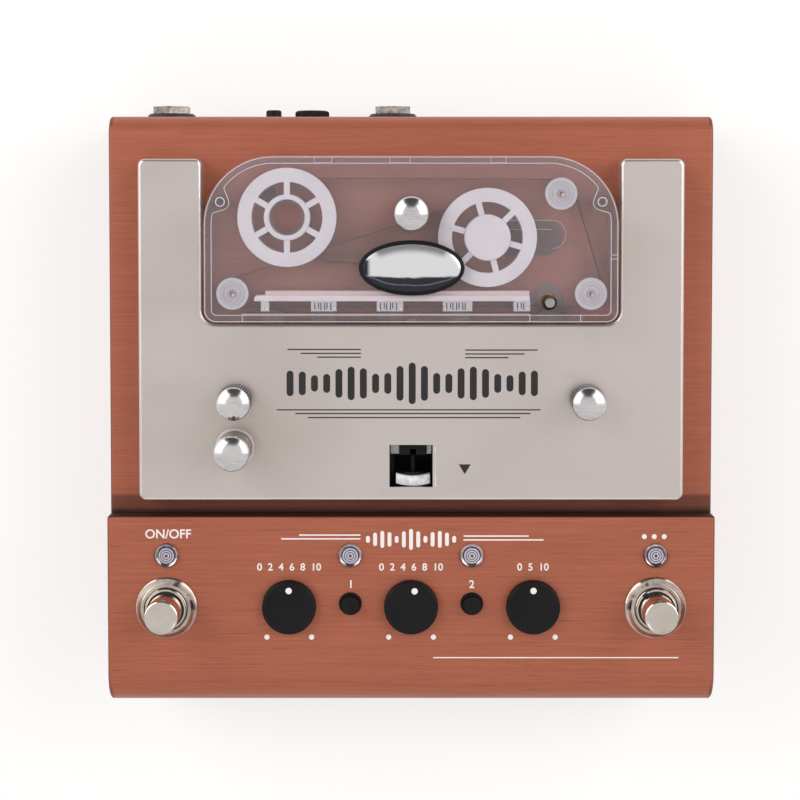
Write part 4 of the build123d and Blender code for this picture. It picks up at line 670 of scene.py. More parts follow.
# foot switches
def makeFootSwitches():
    look = {
        "flange": 11.1, "land": 0.7, "tall": 3.2, "top": 9.15, "lip": 1.15, "bush": 7.3, "bore": 6.7,
        "seal": 6.02, "ridge": 0.3, "keyway": 128,
    }
    nuts, threads, seals = Form(), Form(), Form()
    bushTop = span("footswitch_bodies")[1].z
    top = panelTop + look["tall"]
    flange, land = look["flange"], panelTop + look["land"]
    rim, lip = look["top"], look["top"] - look["lip"]
    bush, bore, seal = look["bush"] + 0.02, look["bore"], look["seal"]
    nut = [
        (bush, panelTop), (flange - 0.25, panelTop), (flange, panelTop + 0.25), (flange - 0.05, land),
        (flange - 0.45, land + 0.3), (rim + 0.2, top - 0.45), (rim - 0.1, top - 0.1), (rim - 0.4, top),
        (lip, top), (lip - 0.25, top - 0.3), (bush + 0.58, top - 0.6), (bush, top - 1.2),
    ]
    thread, height = [], top - 0.9
    while height < bushTop - 0.3:
        thread += [(bush, height), (bush + 0.18, height + look["ridge"] / 2)]
        height += look["ridge"]
    thread += lifted(
        bushTop, (bush + 0.03, 0.1), (bush - 0.12, 0.28), (bore + 0.15, 0.36), (bore, 0.24),
        (bore, 0.01), (bush, 0.01),
    )
    ring = lifted(bushTop, (seal, 0.01), (bore, 0.01), (bore, 0.1), (seal, 0.06))
    # a dark ring fills the gap between the nut's lip and the bush, as painted shade
    gap = box(bush + 0.22, lip - 0.25, top - 1.1, top - 0.35)
    for side in ("onoff", "tap"):
        node = f"{side}_plunger"
        x, y = middle(node)
        low, high = span(node)
        radius = (high.x - low.x) / 2
        cap = [(0, low.z), (radius - 0.5, low.z), (radius, low.z + 0.5)] + lifted(
            high.z, (radius, -0.45), (radius - 0.12, -0.15), (radius - 0.42, 0), (radius - 0.75, -0.05),
            (radius - 1.0, -0.16), (0, -0.16),
        )
        form = Form().turned(x, y, cap, 128)
        form.piece(f"{side}_cap", f"{side}_switch", "bright_chrome", "bright_chrome", [node], 30)
        nuts.turned(x, y, nut, 128, loop=True)
        threads.turned(x, y, thread, 128, loop=True)
        seals.turned(x, y, ring, 96, loop=True)
        seals.turned(x, y, gap, 96, loop=True)
    # keyway of the right-hand bush
    x, y = middle("tap_plunger")
    turn = radians(look["keyway"])
    plan = [(7.0 + a, b) for a, b in box(-0.5, 0.5, -1.0, 1.0)]
    plan = [(x + a * cos(turn) - b * sin(turn), y + a * sin(turn) + b * cos(turn)) for a, b in plan]
    seals.plate([plan], bushTop + 0.2, bushTop + 0.42)
    nuts.piece("dress_nuts", "housing", "nut_chrome", "bright_chrome", ["footswitch_nuts"], 28)
    threads.piece("switch_threads", "housing", "bright_chrome", "plain_steel")
    seals.piece("switch_seals", "housing", "rubber", "rubber")


makeFootSwitches()


# indicator lights
def makeLights():
    look = {
        "outer": 4.5, "inner": 3.45, "tall": 1.3, "neck": 3.2, "core": 2.7, "lead": 0.3,
        "leadsApart": 2.54, "rings": ((0.85, 0.24), (1.65, 0.26), (2.5, 0.3)),
    }
    low, high = span("led_lenses")
    y = (low.y + high.y) / 2
    foot = span("led_bezels")[0].z
    top = panelTop + look["tall"]
    outer, inner, neck, core = look["outer"], look["inner"], look["neck"], look["core"]
    bezel = [
        (neck + 0.03, foot), (neck + 0.65, foot), (neck + 0.68, panelTop), (outer - 0.1, panelTop),
        (outer, panelTop + 0.15), (outer - 0.05, panelTop + 0.55), (outer - 0.3, panelTop + 0.95),
        (outer - 0.62, top), (inner + 0.15, top - 0.1), (inner, top - 0.45), (neck + 0.03, top - 0.6),
    ]
    lens = [(0, low.z + 5), (neck, low.z + 5), (neck, high.z - 0.75), (neck - 0.35, high.z - 0.5)]
    lens += [(neck - 1.4, high.z - 0.3), (0, high.z - 0.2)]
    bezels, lenses, cores, glints = Form(), Form(), Form(), Form()
    for node in ("onoff_plunger", "short_button", "long_button", "tap_plunger"):
        x = middle(node)[0]        # the lights stand behind the switches and buttons
        bezels.turned(x, y, bezel, 96, loop=True)
        lenses.turned(x, y, lens, 72)
        # bright rings on each lens are painted highlights
        for radius, thick in look["rings"]:
            rise = high.z - 0.17 - 0.045 * radius ** 2
            ring = [(radius - thick, -0.15), (radius + thick, -0.15), (radius + thick * 0.6, 0)]
            glints.turned(x, y, lifted(rise, *ring, (radius - thick * 0.6, 0)), 64, loop=True)
        cores.turned(x, y, [(0, foot + 2), (core, foot + 2), (core, panelTop - 0.4), (0, panelTop)], 48)
        for lead in (-look["leadsApart"] / 2, look["leadsApart"] / 2):
            cores.turned(x + lead, y, box(0, look["lead"], low.z, foot + 2.1), 16)
    bezels.piece("light_bezels", "housing", "bezel_chrome", "bright_chrome", ["led_bezels"], 30)
    lenses.piece("light_lenses", "housing", "lens_plastic", "lens_plastic", ["led_lenses"], 30)
    cores.piece("light_cores", "housing", "lens_core", "lens_plastic")
    glints.piece("lens_glint_rings", "housing", "lens_ring", "lens_plastic", smooth=60)


makeLights()
print("foot switches and lights made")


# lock lever and its window
def makeLever():
    look = {
        "x": 0.7, "half": 6.2, "deep": 3.7, "bow": 0.9, "tall": 3.2, "axis": 6.4, "thick": 4.8,
        "web": 5.0, "rod": 1.1, "rodLong": 6.3, "riserHalf": 1.2, "riserDeep": 2.2,
        "plateHalf": 5.0, "plate": (-4.7, -3.5), "slotHalf": 2.6, "slot": (4.7, 1.7),
        "lining": (-7.9, 9.3, 2.2, 19.8), "opening": (-6.1, 7.5), "edge": (8.05, 4.9, 19.4),
    }
    low, high = span("lock_lever")
    x, z = look["x"], low.z + look["axis"]
    rear = low.y + look["thick"]
    guide = rear + look["rodLong"]
    # grip: a bar with a bowed front
    half, top = look["half"], high.z - 0.1
    columns = [-half + 2 * half * step / 24 for step in range(25)]
    front = [(x + across, low.y + look["bow"] * (across / half) ** 2) for across in columns]
    back = [(across, y + look["deep"]) for across, y in front[::-1]]
    grip = Form().plate([front + back], top - look["tall"], top, 0.3)
    grip.piece("lever_grip", "lever", "satin_metal", "bright_chrome", ["lock_lever"], 40)
    # the web is black, painted shade for the dark inside the window
    form = Form().turned(x, z, box(0, look["web"], low.y + 0.8, rear), 64, along="y")
    form.piece("lever_web", "lever", "black_plastic", "bright_chrome", ["lock_lever"], 40)
    # arm: a rod, a riser and a slotted plate, black as painted shade inside the window
    arm = Form().turned(x, z, box(0, look["rod"], rear, guide + 0.1), 32, along="y")
    plateLow, plateHigh = (coverTop + depth for depth in look["plate"])
    riser = box(x - look["riserHalf"], x + look["riserHalf"], guide, guide + look["riserDeep"])
    arm.plate([riser], z, plateHigh, 0.1)
    outline = box(x - look["plateHalf"], x + look["plateHalf"], guide, high.y)
    y0, y1 = (high.y - depth for depth in look["slot"])
    slot = lozenge(x - look["slotHalf"], x + look["slotHalf"], y0, y1)
    arm.plate([outline, slot], plateLow, plateHigh, 0.12)
    arm.piece("lever_arm", "lever", "black_plastic", "bright_chrome", ["lock_lever"], 32)
    # a black sheet under the window's opening, painted shade for the dark inside, and the window's
    # bright rolled edge
    x0, x1, y0, y1 = look["lining"]
    lining = box(x0, x1, coverFront + y0, coverFront + y1)
    opening = box(*look["opening"], low.y - 0.6, guide - 0.1)
    form = Form().plate([lining, opening], deckTop + 0.01, deckTop + 0.25)
    form.piece("window_lining", "housing", "black_plastic", "black_plastic")
    across, y0, y1 = look["edge"]
    edge = [(x + across, coverFront + y, coverTop - 0.06) for y in (y0, y1)]
    Form().rod(edge, 0.22).piece("window_edges", "housing", "satin_metal", "brushed_steel")


makeLever()


def makeDeckPad():
    look = {"x": -52.4, "back": 185.3, "radius": 3.6, "tall": 0.15}
    radius, tall = look["radius"], look["tall"]
    pad = lifted(deckTop, (0, 0), (radius, 0), (radius, tall), (0, tall + 0.05))
    form = Form().turned(look["x"], caseFront + look["back"], pad, 48)
    form.piece("deck_pad", "housing", "rubber", "rubber")


makeDeckPad()


# knobs and small buttons
def makeKnobs():
    look = {
        "edge": 0.85, "wall": 1.8, "roof": 1.3, "lift": 0.4, "shaft": 3.0, "taper": 0.1,
        "dot": 1.15, "dotReach": 6.3, "rest": {"level": 0, "feedback": -11.6, "time": 0},
    }
    dot, shaft, edge = look["dot"], look["shaft"], look["edge"]
    skirt = panelTop + look["lift"]
    for control, rest in look["rest"].items():
        node, body = f"{control}_knob", f"{control}_control"
        x, y = middle(node)
        low, high = span(node)
        radius = (high.x - low.x) / 2
        upper, inner, roof = radius - look["taper"], radius - look["wall"], high.z - look["roof"]
        knob = [
            (0, low.z), (shaft - 0.3, low.z), (shaft, low.z + 0.3), (shaft, roof), (inner, roof),
            (inner, skirt), (radius - 0.2, skirt), (radius, skirt + 0.25),
        ]
        for turn in (radians(15 * step) for step in range(7)):
            knob.append((upper - edge * (1 - cos(turn)), high.z - edge * (1 - sin(turn))))
        knob += lifted(high.z, (upper - edge - 0.12, -0.07), (0, -0.07))
        form = Form().turned(x, y, knob, 144)
        form.piece(f"{control}_dial", body, "black_plastic", "black_plastic", [node], 30)
        x, y = x - look["dotReach"] * sin(radians(rest)), y + look["dotReach"] * cos(radians(rest))
        profile = lifted(high.z, (0, -0.4), (dot, -0.4), (dot, -0.04), (dot - 0.12, 0), (0, 0))
        form = Form().turned(x, y, profile, 40)
        form.piece(f"{control}_dot", body, "ink_white", "white_plastic")


def makeButtons():
    look = {"shaft": 1.5, "skirt": 1.8}
    for side in ("short", "long"):
        node = f"{side}_button"
        low, high = span(node)
        radius, shaft, skirt = (high.x - low.x) / 2, look["shaft"], panelTop - look["skirt"]
        cap = [(0, low.z), (shaft, low.z), (shaft, skirt), (radius - 0.2, skirt), (radius, skirt + 0.2)]
        cap += lifted(
            high.z, (radius, -0.5), (radius - 0.15, -0.15), (radius - 0.5, 0), (radius - 0.8, -0.03),
            (0, -0.12),
        )
        form = Form().turned(*middle(node), cap, 72)
        form.piece(f"{side}_cap", f"{side}_switch", "black_plastic", "black_plastic", [node], 30)


makeKnobs()
makeButtons()


# rear controls
def makeRear():
    look = {
        "shaft": 3.0, "gap": 0.35, "teeth": 42, "toothDepth": 0.3,
        "pushShaft": 1.5, "pushSkirt": 3.2, "bore": 3.35, "bush": 4.55, "jackReach": 7.0,
    }
    wall = shellHigh.y
    low, high = span("rear_knob")
    radius, shaft, skirt = (high.x - low.x) / 2, look["shaft"], wall + look["gap"]
    knob = [
        (0, low.y), (shaft - 0.1, low.y), (shaft, low.y + 0.2), (shaft, skirt), (radius - 0.3, skirt),
        (radius, skirt + 0.25),
    ] + lifted(
        high.y, (radius, -0.8), (radius - 0.25, -0.4), (radius - 0.7, -0.1), (radius - 1.1, 0),
        (radius - 1.6, -0.15), (0, -0.15),
    )
    knurl = (look["teeth"], look["toothDepth"], wall + 0.5, high.y - 0.6)
    form = Form().turned((low.x + high.x) / 2, (low.z + high.z) / 2, knob, knurl=knurl, along="y")
    form.piece("rear_dial", "rear_control", "black_plastic", "black_plastic", ["rear_knob"], 40)
    low, high = span("rear_button")
    radius, shaft, skirt = (high.x - low.x) / 2, look["pushShaft"], wall - look["pushSkirt"]
    cap = [(0, low.y), (shaft, low.y), (shaft, skirt), (radius - 0.2, skirt), (radius, skirt + 0.2)]
    cap += lifted(high.y, (radius, -0.6), (radius - 0.2, -0.2), (radius - 0.6, 0), (0, 0))
    form = Form().turned((low.x + high.x) / 2, (low.z + high.z) / 2, cap, 64, along="y")
    form.piece("rear_push_cap", "rear_push", "black_plastic", "black_plastic", ["rear_button"], 30)
    # ends of the two jack bushes
    low, high = span("jack_nuts")
    bore, bush = look["bore"], look["bush"]
    end = lifted(high.y, (bore, -1.4), (bush, -1.4), (bush, -0.9), (bush - 0.25, -0.45), (bore, -0.3))
    rims = Form()
    for x in (low.x + look["jackReach"], high.x - look["jackReach"]):
        rims.turned(x, (low.z + high.z) / 2, end, 64, along="y", loop=True)
    rims.piece("jack_rims", "housing", "nut_metal", "bright_chrome")


makeRear()
print("knobs and buttons made")


# cartridge case
caseLook = {
    "wall": 2.7, "frontWall": 3.1, "boss": 2.4, "bossBore": 1.25, "bossClear": 3.2, "bossWidth": 5.2,
    "notch": (15.0, 12.7, 5.0),            # in from the left and the right side, and deep
    "shaftHole": 2.7, "keeperHole": 1.8, "screwHole": 1.2, "reelHole": 5.35, "reelBoss": 6.3,
    "marks": ((-32.0, -18.5, 24.25), (-35.0, -23.5, 21.15)),      # x from, x to, back from the front
    "recess": (22.0, 55.0, 23.95, 36.75),
    "ridge": 0.17,
    "fineRidge": 0.14,
    "windows": (-60.6, 42.6, 60.8),
    "catches": ((-34.7, -28.4), (-7.6, -0.4), (28.5, 33.9)),
    "tab": (24.35, 22.95),
    "keyhole": {"x": (36, 51), "back": (36.65, 33.35), "round": (51.5, 31.55, 4.7, 5.1)},
}
screwLow, screwHigh = span("cartridge_screws")
bosses = [(screwLow.x + 1.7, middle("cartridge_screws")[1])]
bosses.append((-bosses[0][0], bosses[0][1]))
capstan, keeper = middle("capstan_shaft"), middle("retaining_knob")
leftReel, rightReel = middle("reel_left"), middle("reel_right")
rollers = [middle(f"roller_{place}") for place in ("front_left", "front_right", "rear_right")]


def innerWall(inset):
    # the inside of the wall, which goes round the two screw bosses
    line = casePlan(inset, 0.6)
    for boss in bosses:
        foot = min(line, key=lambda spot: hypot(spot[0] - boss[0], spot[1] - boss[1]))
        height = hypot(foot[0] - boss[0], foot[1] - boss[1]) + caseLook["bossClear"]
        inward = Vector((boss[0] - foot[0], boss[1] - foot[1])).normalized()
        moved = []
        for x, y in line:
            away = hypot(x - foot[0], y - foot[1]) / caseLook["bossWidth"]
            lift = height * cos(away * pi / 2) ** 1.3 if away < 1 else 0
            moved.append((x + inward.x * lift, y + inward.y * lift))
        line = moved
    return line


def opened(line, left, right, rear):
    # an outline without its stretch between two places at the front, starting at the right of the gap
    kept = [(x, y) for x, y in line if not (left < x < right and y < rear)]
    start = next(index for index, (x, y) in enumerate(kept) if x >= right and y < rear)
    return kept[start:] + kept[:start]


def makeCaseBase(outer, inner):
    look = caseLook
    front, wall, boss = caseLow.y, look["wall"], look["boss"]
    fromLeft, fromRight, deep = look["notch"]
    left, right, rear = caseLow.x + fromLeft, caseHigh.x - fromRight, front + deep
    outerOpen, innerOpen = opened(outer, left, right, rear), opened(inner, left, right, rear)
    base = Form()
    # floor with its openings
    plan = outerOpen + [(left, front), (left, rear), (right, rear), (right, front)]
    holes = [
        circle(*capstan, look["shaftHole"], 40),
        circle(*keeper, look["keeperHole"], 32),
        circle(*leftReel, look["reelHole"], 64),
    ]
    base.plate([plan] + holes, caseLow.z, floorTop, 0.15)
    # wall all round, open at the front where the heads come in
    plan = outerOpen + [(left, front), (left, front + wall)] + innerOpen[::-1]
    plan += [(right, front + wall), (right, front)]
    base.plate([plan], floorTop, lidLow.z - 0.02, 0.12)
    bore = look["bossBore"]
    for x, y in bosses:
        base.turned(x, y, box(bore, boss, floorTop, lidLow.z), 40, loop=True)
    # pins of the rollers and bosses of the reels
    pin = [(0, floorTop), (1.28, floorTop), (1.28, lidLow.z - 0.3), (1.0, lidLow.z), (0, lidLow.z)]
    for x, y in rollers:
        base.turned(x, y, pin, 32)
    bore, boss, top = look["reelHole"] + 0.02, look["reelBoss"], tapeTop + 1.55
    ring = [(bore, floorTop), (boss, floorTop), (boss, top - 0.2), (boss - 0.2, top), (bore, top)]
    base.turned(*leftReel, ring, 72, loop=True)
    base.turned(*rightReel, box(0, boss, floorTop, tapeTop - 0.35), 64)
    # moulded marks and the recess beside the right-hand reel
    for x0, x1, back in look["marks"]:
        base.plate([box(x0, x1, front + back, front + back + 0.35)], floorTop, floorTop + 0.5, 0.1)
    x0, x1, y0, y1 = look["recess"]
    base.plate([lozenge(x0, x1, front + y0, front + y1)], floorTop - 0.05, floorTop + 0.35, 0.1)
    base.piece("case_base", "cartridge", "clear_plastic", "clear_plastic", ["cartridge_base"], 30)


def makeCaseLid(outer):
    look = caseLook
    holes = [circle(*capstan, look["shaftHole"], 48), circle(*keeper, look["keeperHole"], 32)]
    holes += [circle(*boss, look["screwHole"], 24) for boss in bosses]
    lid = Form().plate([outer] + holes, lidLow.z, lidHigh.z, 0.45, 3)
    lid.piece("case_lid", "cartridge", "clear_plastic", "clear_plastic", ["cartridge_lid"], 30)


def makeCaseScrews():
    screw = [(0, screwLow.z), (1.18, screwLow.z + 0.4)]
    screw += lifted(lidHigh.z, (1.18, 0), (1.65, 0), (1.7, 0.1))
    screw += lifted(
        screwHigh.z, (1.55, -0.08), (1.35, 0), (0.85, 0), (0.75, -0.35), (0, -0.35)
    )
    screws = Form()
    for x, y in bosses:
        screws.turned(x, y, screw, 48)
    screws.piece("case_screws", "cartridge", "lens_plastic", "plain_steel", ["cartridge_screws"], 30)


def makeCaseEdges(inner):
    # whitish lines, painted highlights where the clear plastic's edges gather the light: the wall's
    # inside, the lid's rim and the front windows
    look = caseLook
    ridge, fine, height = look["ridge"], look["fineRidge"], lidLow.z - 0.2
    edges = Form()
    edges.rod([(x, y, height) for x, y in inner], ridge, True)
    edges.rod([(x, y, lidHigh.z - 0.33) for x, y in casePlan(0.5)], 0.13, True)
    front, inside = caseLow.y + 0.4, caseLow.y + look["frontWall"]
    for x in look["windows"]:
        edges.rod([(x, front, height), (x, inside, height)], ridge)
    edges.rod([(x, inside, height) for x in look["windows"][:2]], fine)
    # painted highlights on the catches of the rear wall, and on the tab of the right-hand wall
    y0, y1 = caseHigh.y - 2.5, caseHigh.y - 0.5
    for x0, x1 in look["catches"]:
        edges.rod([(x0, y0, height), (x0, y1, height), (x1, y1, height), (x1, y0, height)], 0.15, True)
    side = caseHigh.x - look["wall"]
    for back in look["tab"]:
        edges.rod([(side, caseLow.y + back, height), (side + 2.3, caseLow.y + back, height)], 0.15)
    # painted highlight along the outline of the keyhole recess
    keyhole, top = look["keyhole"], floorTop + 0.45
    for back in keyhole["back"]:
        edges.rod([(x, caseLow.y + back, top) for x in keyhole["x"]], fine)
    x, back, wide, deep = keyhole["round"]
    turns = [radians(90 - 180 * step / 16) for step in range(17)]
    edges.rod([(x + wide * cos(turn), caseLow.y + back + deep * sin(turn), top) for turn in turns], 0.1)
    # painted glints, off centre, on the pins of the rollers, and painted highlight rings on the screws
    ring = lifted(lidLow.z, (0.85, -0.25), (1.2, -0.25), (1.05, -0.05), (0.9, -0.05))
    glint = lifted(lidLow.z, (0, -0.12), (0.5, -0.12), (0.4, -0.02), (0, -0.02))
    for x, y in rollers:
        edges.turned(x, y, ring, 32, loop=True)
        edges.turned(x + 0.25, y - 0.25, glint, 24)
    ring = lifted(screwHigh.z, (1.4, -0.3), (1.75, -0.3), (1.6, -0.04), (1.42, -0.04))
    for x, y in bosses:
        edges.turned(x, y, ring, 40, loop=True)
    edges.piece("case_edges", "cartridge", "case_edge", "clear_plastic", smooth=60)


outerLine, innerLine = casePlan(0), innerWall(caseLook["wall"])
makeCaseBase(outerLine, innerLine)
makeCaseLid(outerLine)
makeCaseScrews()
makeCaseEdges(innerLine)


# badge
def makeBadge():
    look = {"rim": 1.35, "foot": 0.97, "domeTall": 1.08, "swell": 2.2, "steps": 13}
    low, high = span("cartridge_badge")
    x, y = middle("cartridge_badge")
    wide, deep, rim = (high.x - low.x) / 2, (high.y - low.y) / 2, look["rim"]
    turns = [2 * pi * step / 96 for step in range(96)]

    def bowl(*profile):
        # oval bowl of (inset, height); an inset of None is its middle
        form = Form()
        rings = []
        for inset, z in profile:
            if inset is None:
                rings.append([form.point(x, y, z)])
            else:
                a, b = wide - inset, deep - inset
                spots = [(x + a * cos(turn), y + b * sin(turn)) for turn in turns]
                rings.append([form.point(*spot, z) for spot in spots])
        return form.skin(rings)

    edge = lifted(
        low.z, (None, 0.02), (0.15, 0.02), (0, 0.2), (0, 0.6), (0.3, 0.95), (rim - 0.35, 1.15),
        (rim, 1.0), (None, 0.95),
    )
    bowl(*edge).piece("badge_rim", "cartridge", "black_plastic", "badge_metal", ["cartridge_badge"], 32)
    crown = [(None, -0.01), (rim, -0.01)]
    for share in (step / look["steps"] for step in range(look["steps"])):
        crown.append((rim + (deep - rim) * share, look["domeTall"] * (1 - (1 - share) ** look["swell"])))
    face = lifted(low.z + look["foot"], *crown) + [(None, high.z - 0.03)]
    bowl(*face).piece("badge_face", "cartridge", "badge_metal", "badge_metal", smooth=60)


makeBadge()


# reels and rollers
def sector(x, y, inner, outer, turn, count, gap, steps=10):
    # window between two spokes with parallel sides
    half = pi / count
    points = []
    for radius, direction in ((outer, 1), (inner, -1)):
        reach = half - asin(gap / 2 / radius)
        for step in range(steps + 1):
            share = direction * (2 * step / steps - 1)
            angle = turn + half + reach * share
            points.append((x + radius * cos(angle), y + radius * sin(angle)))
    return points


reelLook = {
    "flange": 17.8, "window": 12.75, "drum": 13.7, "hub": 8.3, "bore": 6.4, "spoke": 2.2, "spokes": 6,
    "flangeFoot": 0.35, "flangeTall": 1.2,
}


def makeReel(side, turn, closed):
    look = reelLook
    node = f"reel_{side}"
    x, y = middle(node)
    low, high = span(node)
    window, drum, hub, bore = look["window"], look["drum"], look["hub"], look["bore"]
    foot, count = tapeTop + look["flangeFoot"], look["spokes"]
    starts = [radians(turn + 360 / count * index) for index in range(count)]
    loops = [circle(x, y, look["flange"], 144)]
    loops += [sector(x, y, hub - 0.1, window, start, count, look["spoke"]) for start in starts]
    form = Form().plate([*loops, circle(x, y, bore, 72)], foot, foot + look["flangeTall"], 0.22)
    window += 0.02
    form.turned(x, y, box(window, drum, low.z, foot + 0.1), loop=True)
    profile = [(bore, low.z), (hub, low.z), (hub, high.z - 0.3), (hub - 0.3, high.z)]
    if closed:
        profile = [(0, high.z - 1.4), (bore, high.z - 1.4), *profile, (0, high.z)]
    else:
        profile += [(bore + 0.25, high.z), (bore, high.z - 0.25)]
    form.turned(x, y, profile, loop=not closed)
    form.piece(f"{side}_spool", f"{side}_reel", "white_plastic", "white_plastic", [node], 32)


makeReel("left", 90, False)
makeReel("right", 104.5, True)


def makeRollers():
    look = {
        "bore": 1.35, "drum": 4.7,
        # the flange above the tape, from its edge to the hub
        "flange": (
            (5.65, 0), (5.8, 0.15), (5.8, 0.65), (5.55, 0.85), (4.45, 0.95), (4.35, 0.8), (4.2, 0.8),
            (4.1, 1.0), (3.3, 1.1), (3.2, 0.9), (3.0, 0.9), (2.9, 1.15), (2.45, 1.3),
        ),
    }
    bore, drum, foot = look["bore"], look["drum"], tapeTop + 0.3
    for node, body in (
        ("roller_front_left", "left_roller"),
        ("roller_front_right", "right_roller"),
        ("roller_rear_right", "rear_roller"),
    ):
        x, y = middle(node)
        low, high = span(node)
        profile = [(bore, low.z), (drum - 0.2, low.z), (drum, low.z + 0.2), (drum, foot)]
        profile += lifted(foot, *look["flange"])
        profile += lifted(high.z, (2.3, -0.15), (2.1, 0), (1.5, 0), (bore, -0.15))
        form = Form().turned(x, y, profile, 72, loop=True)
        form.piece(f"{node}_drum", body, "frosted", "natural_plastic", [node], 32)


makeRollers()


# pad rail
def makeRail():
    look = {
        "deep": 3.7, "stripDeep": 2.2, "pad": 1.4, "post": 0.95, "felt": 1.2, "line": 0.13,
        "pads": ((-54.0, -51.0), (-36.0, -26.8), (-12.4, -2.8), (11.4, 22.0), (36.8, 42.8)),
        "markPitch": 1.1, "markWide": 0.4,
    }
    low, high = span("pad_rail")
    back, padFront = high.y - look["deep"], low.y + look["pad"]
    strip, holders, felts, lines, marks = Form(), Form(), Form(), Form(), Form()
    plan = [(low.x, back), (high.x - 0.2, back), (high.x - 0.2, high.y), (low.x + 4.2, high.y)]
    plan += [(low.x + 3.4, high.y - 1.3), (low.x + 0.8, high.y - 1.6), (low.x, high.y - 2.4)]
    plan = [(x, min(y, back + look["stripDeep"])) for x, y in plan]
    strip.plate([plan], floorTop, high.z - 0.3, 0.25)
    strip.piece("rail_strip", "cartridge", "natural_plastic", "natural_plastic", ["pad_rail"], 32)
    # the rail's clear back and two bright lines along it take the whitish finish of the painted
    # highlights
    plan = box(low.x + 4.0, high.x - 0.3, back + look["stripDeep"] + 0.05, high.y)
    lines.plate([plan], floorTop, high.z - 0.9, 0.15)
    for y in (back + look["stripDeep"] + 0.2, high.y - 0.25):
        lines.rod([(x, y, high.z - 0.75) for x in (low.x + 4.2, high.x - 0.6)], look["line"])
    lines.piece("rail_lines", "cartridge", "case_edge", "clear_plastic", smooth=50)
    pin = lifted(high.z, (0, -0.4), (0.28, -0.4), (0.22, -0.25), (0, -0.22))
    post, felt, pitch = look["post"], look["felt"], look["markPitch"]
    for x0, x1 in look["pads"]:
        holders.plate([box(x0, x1, low.y + 0.05, back + 0.05)], tapeTop + 0.35, high.z - 0.35, 0.3)
        for x in (x0 + 0.15, x1 - 0.15 - post):
            foot = box(x, x + post, padFront + 0.1, back)
            holders.plate([foot], floorTop + 0.5, tapeTop + 0.4, 0.1)
        plan = box(x0 + felt, x1 - felt, padFront + 0.02, padFront + felt)
        felts.plate([plan], floorTop + 0.6, tapeTop, 0.15)
        for x in (x0 + 0.9, x1 - 0.9):
            felts.turned(x, low.y + 1.0, pin, 16)
        for index in range(int((x1 - x0 - 2 * felt) / pitch)):
            x = x0 + felt + index * pitch + 0.25 * (index % 2)
            y = low.y + 0.6 + 0.5 * (index % 3 == 1)
            marks.plate([box(x, x + look["markWide"], y, back - 0.5)], high.z - 0.36, high.z - 0.3)
    marks.piece("pad_marks", "cartridge", "rubber", "natural_plastic")
    holders.piece("pad_holders", "cartridge", "frosted", "natural_plastic", smooth=32)
    felts.piece("pad_felts", "cartridge", "felt", "white_plastic", smooth=40)


makeRail()
print("cartridge made")


# printed marks
inkDeep, inkTall = 0.02, 0.05


def printed(form, loop, top):
    form.plate([loop], top - inkDeep, top + inkTall)


def stripes(form, rows, half, front, top):
    for x0, x1, back in rows:
        printed(form, box(x0, x1, front + back - half, front + back + half), top)


def echoBars(form, look, front, top):
    # a fading echo in bars, where a name would stand
    for index in range(look["count"]):
        place = index - look["count"] // 2
        swell = abs(cos(place * look["wave"])) * (1 - look["fade"] * abs(place))
        tall = look["tall"] * (look["least"] + (1 - look["least"]) * swell)
        x = place * look["pitch"] + look["x"]
        printed(form, lozengeUp(x, front + look["back"], look["wide"], tall), top)


def makeCoverPrint():
    # places are x, and back from the front edge of the cover
    look = {
        "half": 0.22,
        "rows": (
            (-44.45, -18.1, 54.71), (-39.75, -18.1, 53.30), (-33.8, -18.1, 51.93),
            (19.5, 45.5, 54.49), (19.5, 40.8, 53.08), (19.5, 35.0, 51.75),
            (-48.4, 46.6, 32.89), (-41.7, 43.0, 31.56), (-37.2, 39.3, 30.08),
        ),
        "bars": {
            "count": 21, "pitch": 4.4, "wide": 2.5, "tall": 15.0, "x": 0.4, "back": 42.45,
            "wave": 0.62, "fade": 0.055, "least": 0.30,
        },
        "pointer": ((17.2, 13.15), (19.35, 9.55), (21.5, 13.15)),      # of the lock lever
    }
    ink = Form()
    stripes(ink, look["rows"], look["half"], coverFront, coverTop)
    echoBars(ink, look["bars"], coverFront, coverTop)
    printed(ink, [(x, coverFront + back) for x, back in look["pointer"]], coverTop)
    ink.piece("cover_print", "housing", "ink_black", "black_plastic")


def makePanelPrint():
    # places are x, and back from the front of the unit
    look = {
        "half": 0.25,
        "rows": (
            (-40.5, -18.3, 62.40), (-47.0, -18.3, 61.05), (19.0, 42.6, 62.05), (19.0, 47.9, 60.65),
        ),
        "bars": {
            "count": 13, "pitch": 2.6, "wide": 1.4, "tall": 7.6, "x": 0, "back": 60.85,
            "wave": 0.78, "fade": 0.07, "least": 0.32,
        },
        "dialDots": (8.1, 25.15, 0.95),
        "words": (
            ("ON/OFF", -87.9, 62.65, 4.6),
            ("0  2  4  6  8  10", -44.15, 50.65, 3.7),
            ("0  2  4  6  8  10", 0, 50.65, 3.7),
            ("0  5  10", 44.15, 50.65, 3.7),
            ("1", -21.8, 44.35, 4.0),
            ("2", 22.0, 44.35, 4.0),
        ),
        "dots": ((84.4, 88.0, 91.6), 61.85, 0.9),
        "line": (8.0, 97.0, 17.45, 17.85),
    }
    ink = Form()
    stripes(ink, look["rows"], look["half"], caseFront, panelTop)
    echoBars(ink, look["bars"], caseFront, panelTop)
    apart, back, radius = look["dialDots"]
    for control in ("level", "feedback", "time"):
        for side in (-1, 1):
            x = middle(f"{control}_knob")[0] + side * apart
            printed(ink, circle(x, caseFront + back, radius, 32), panelTop)
    for text, x, back, size in look["words"]:
        height = panelTop + (inkTall - inkDeep) / 2
        ink.words(text, x, caseFront + back, height, size, inkTall + inkDeep)
    xs, back, radius = look["dots"]
    for x in xs:
        printed(ink, circle(x, caseFront + back, radius, 28), panelTop)
    x0, x1, y0, y1 = look["line"]
    printed(ink, box(x0, x1, caseFront + y0, caseFront + y1), panelTop)
    ink.piece("panel_print", "housing", "ink_white", "white_plastic")


makeCoverPrint()
makePanelPrint()
print("prints made")


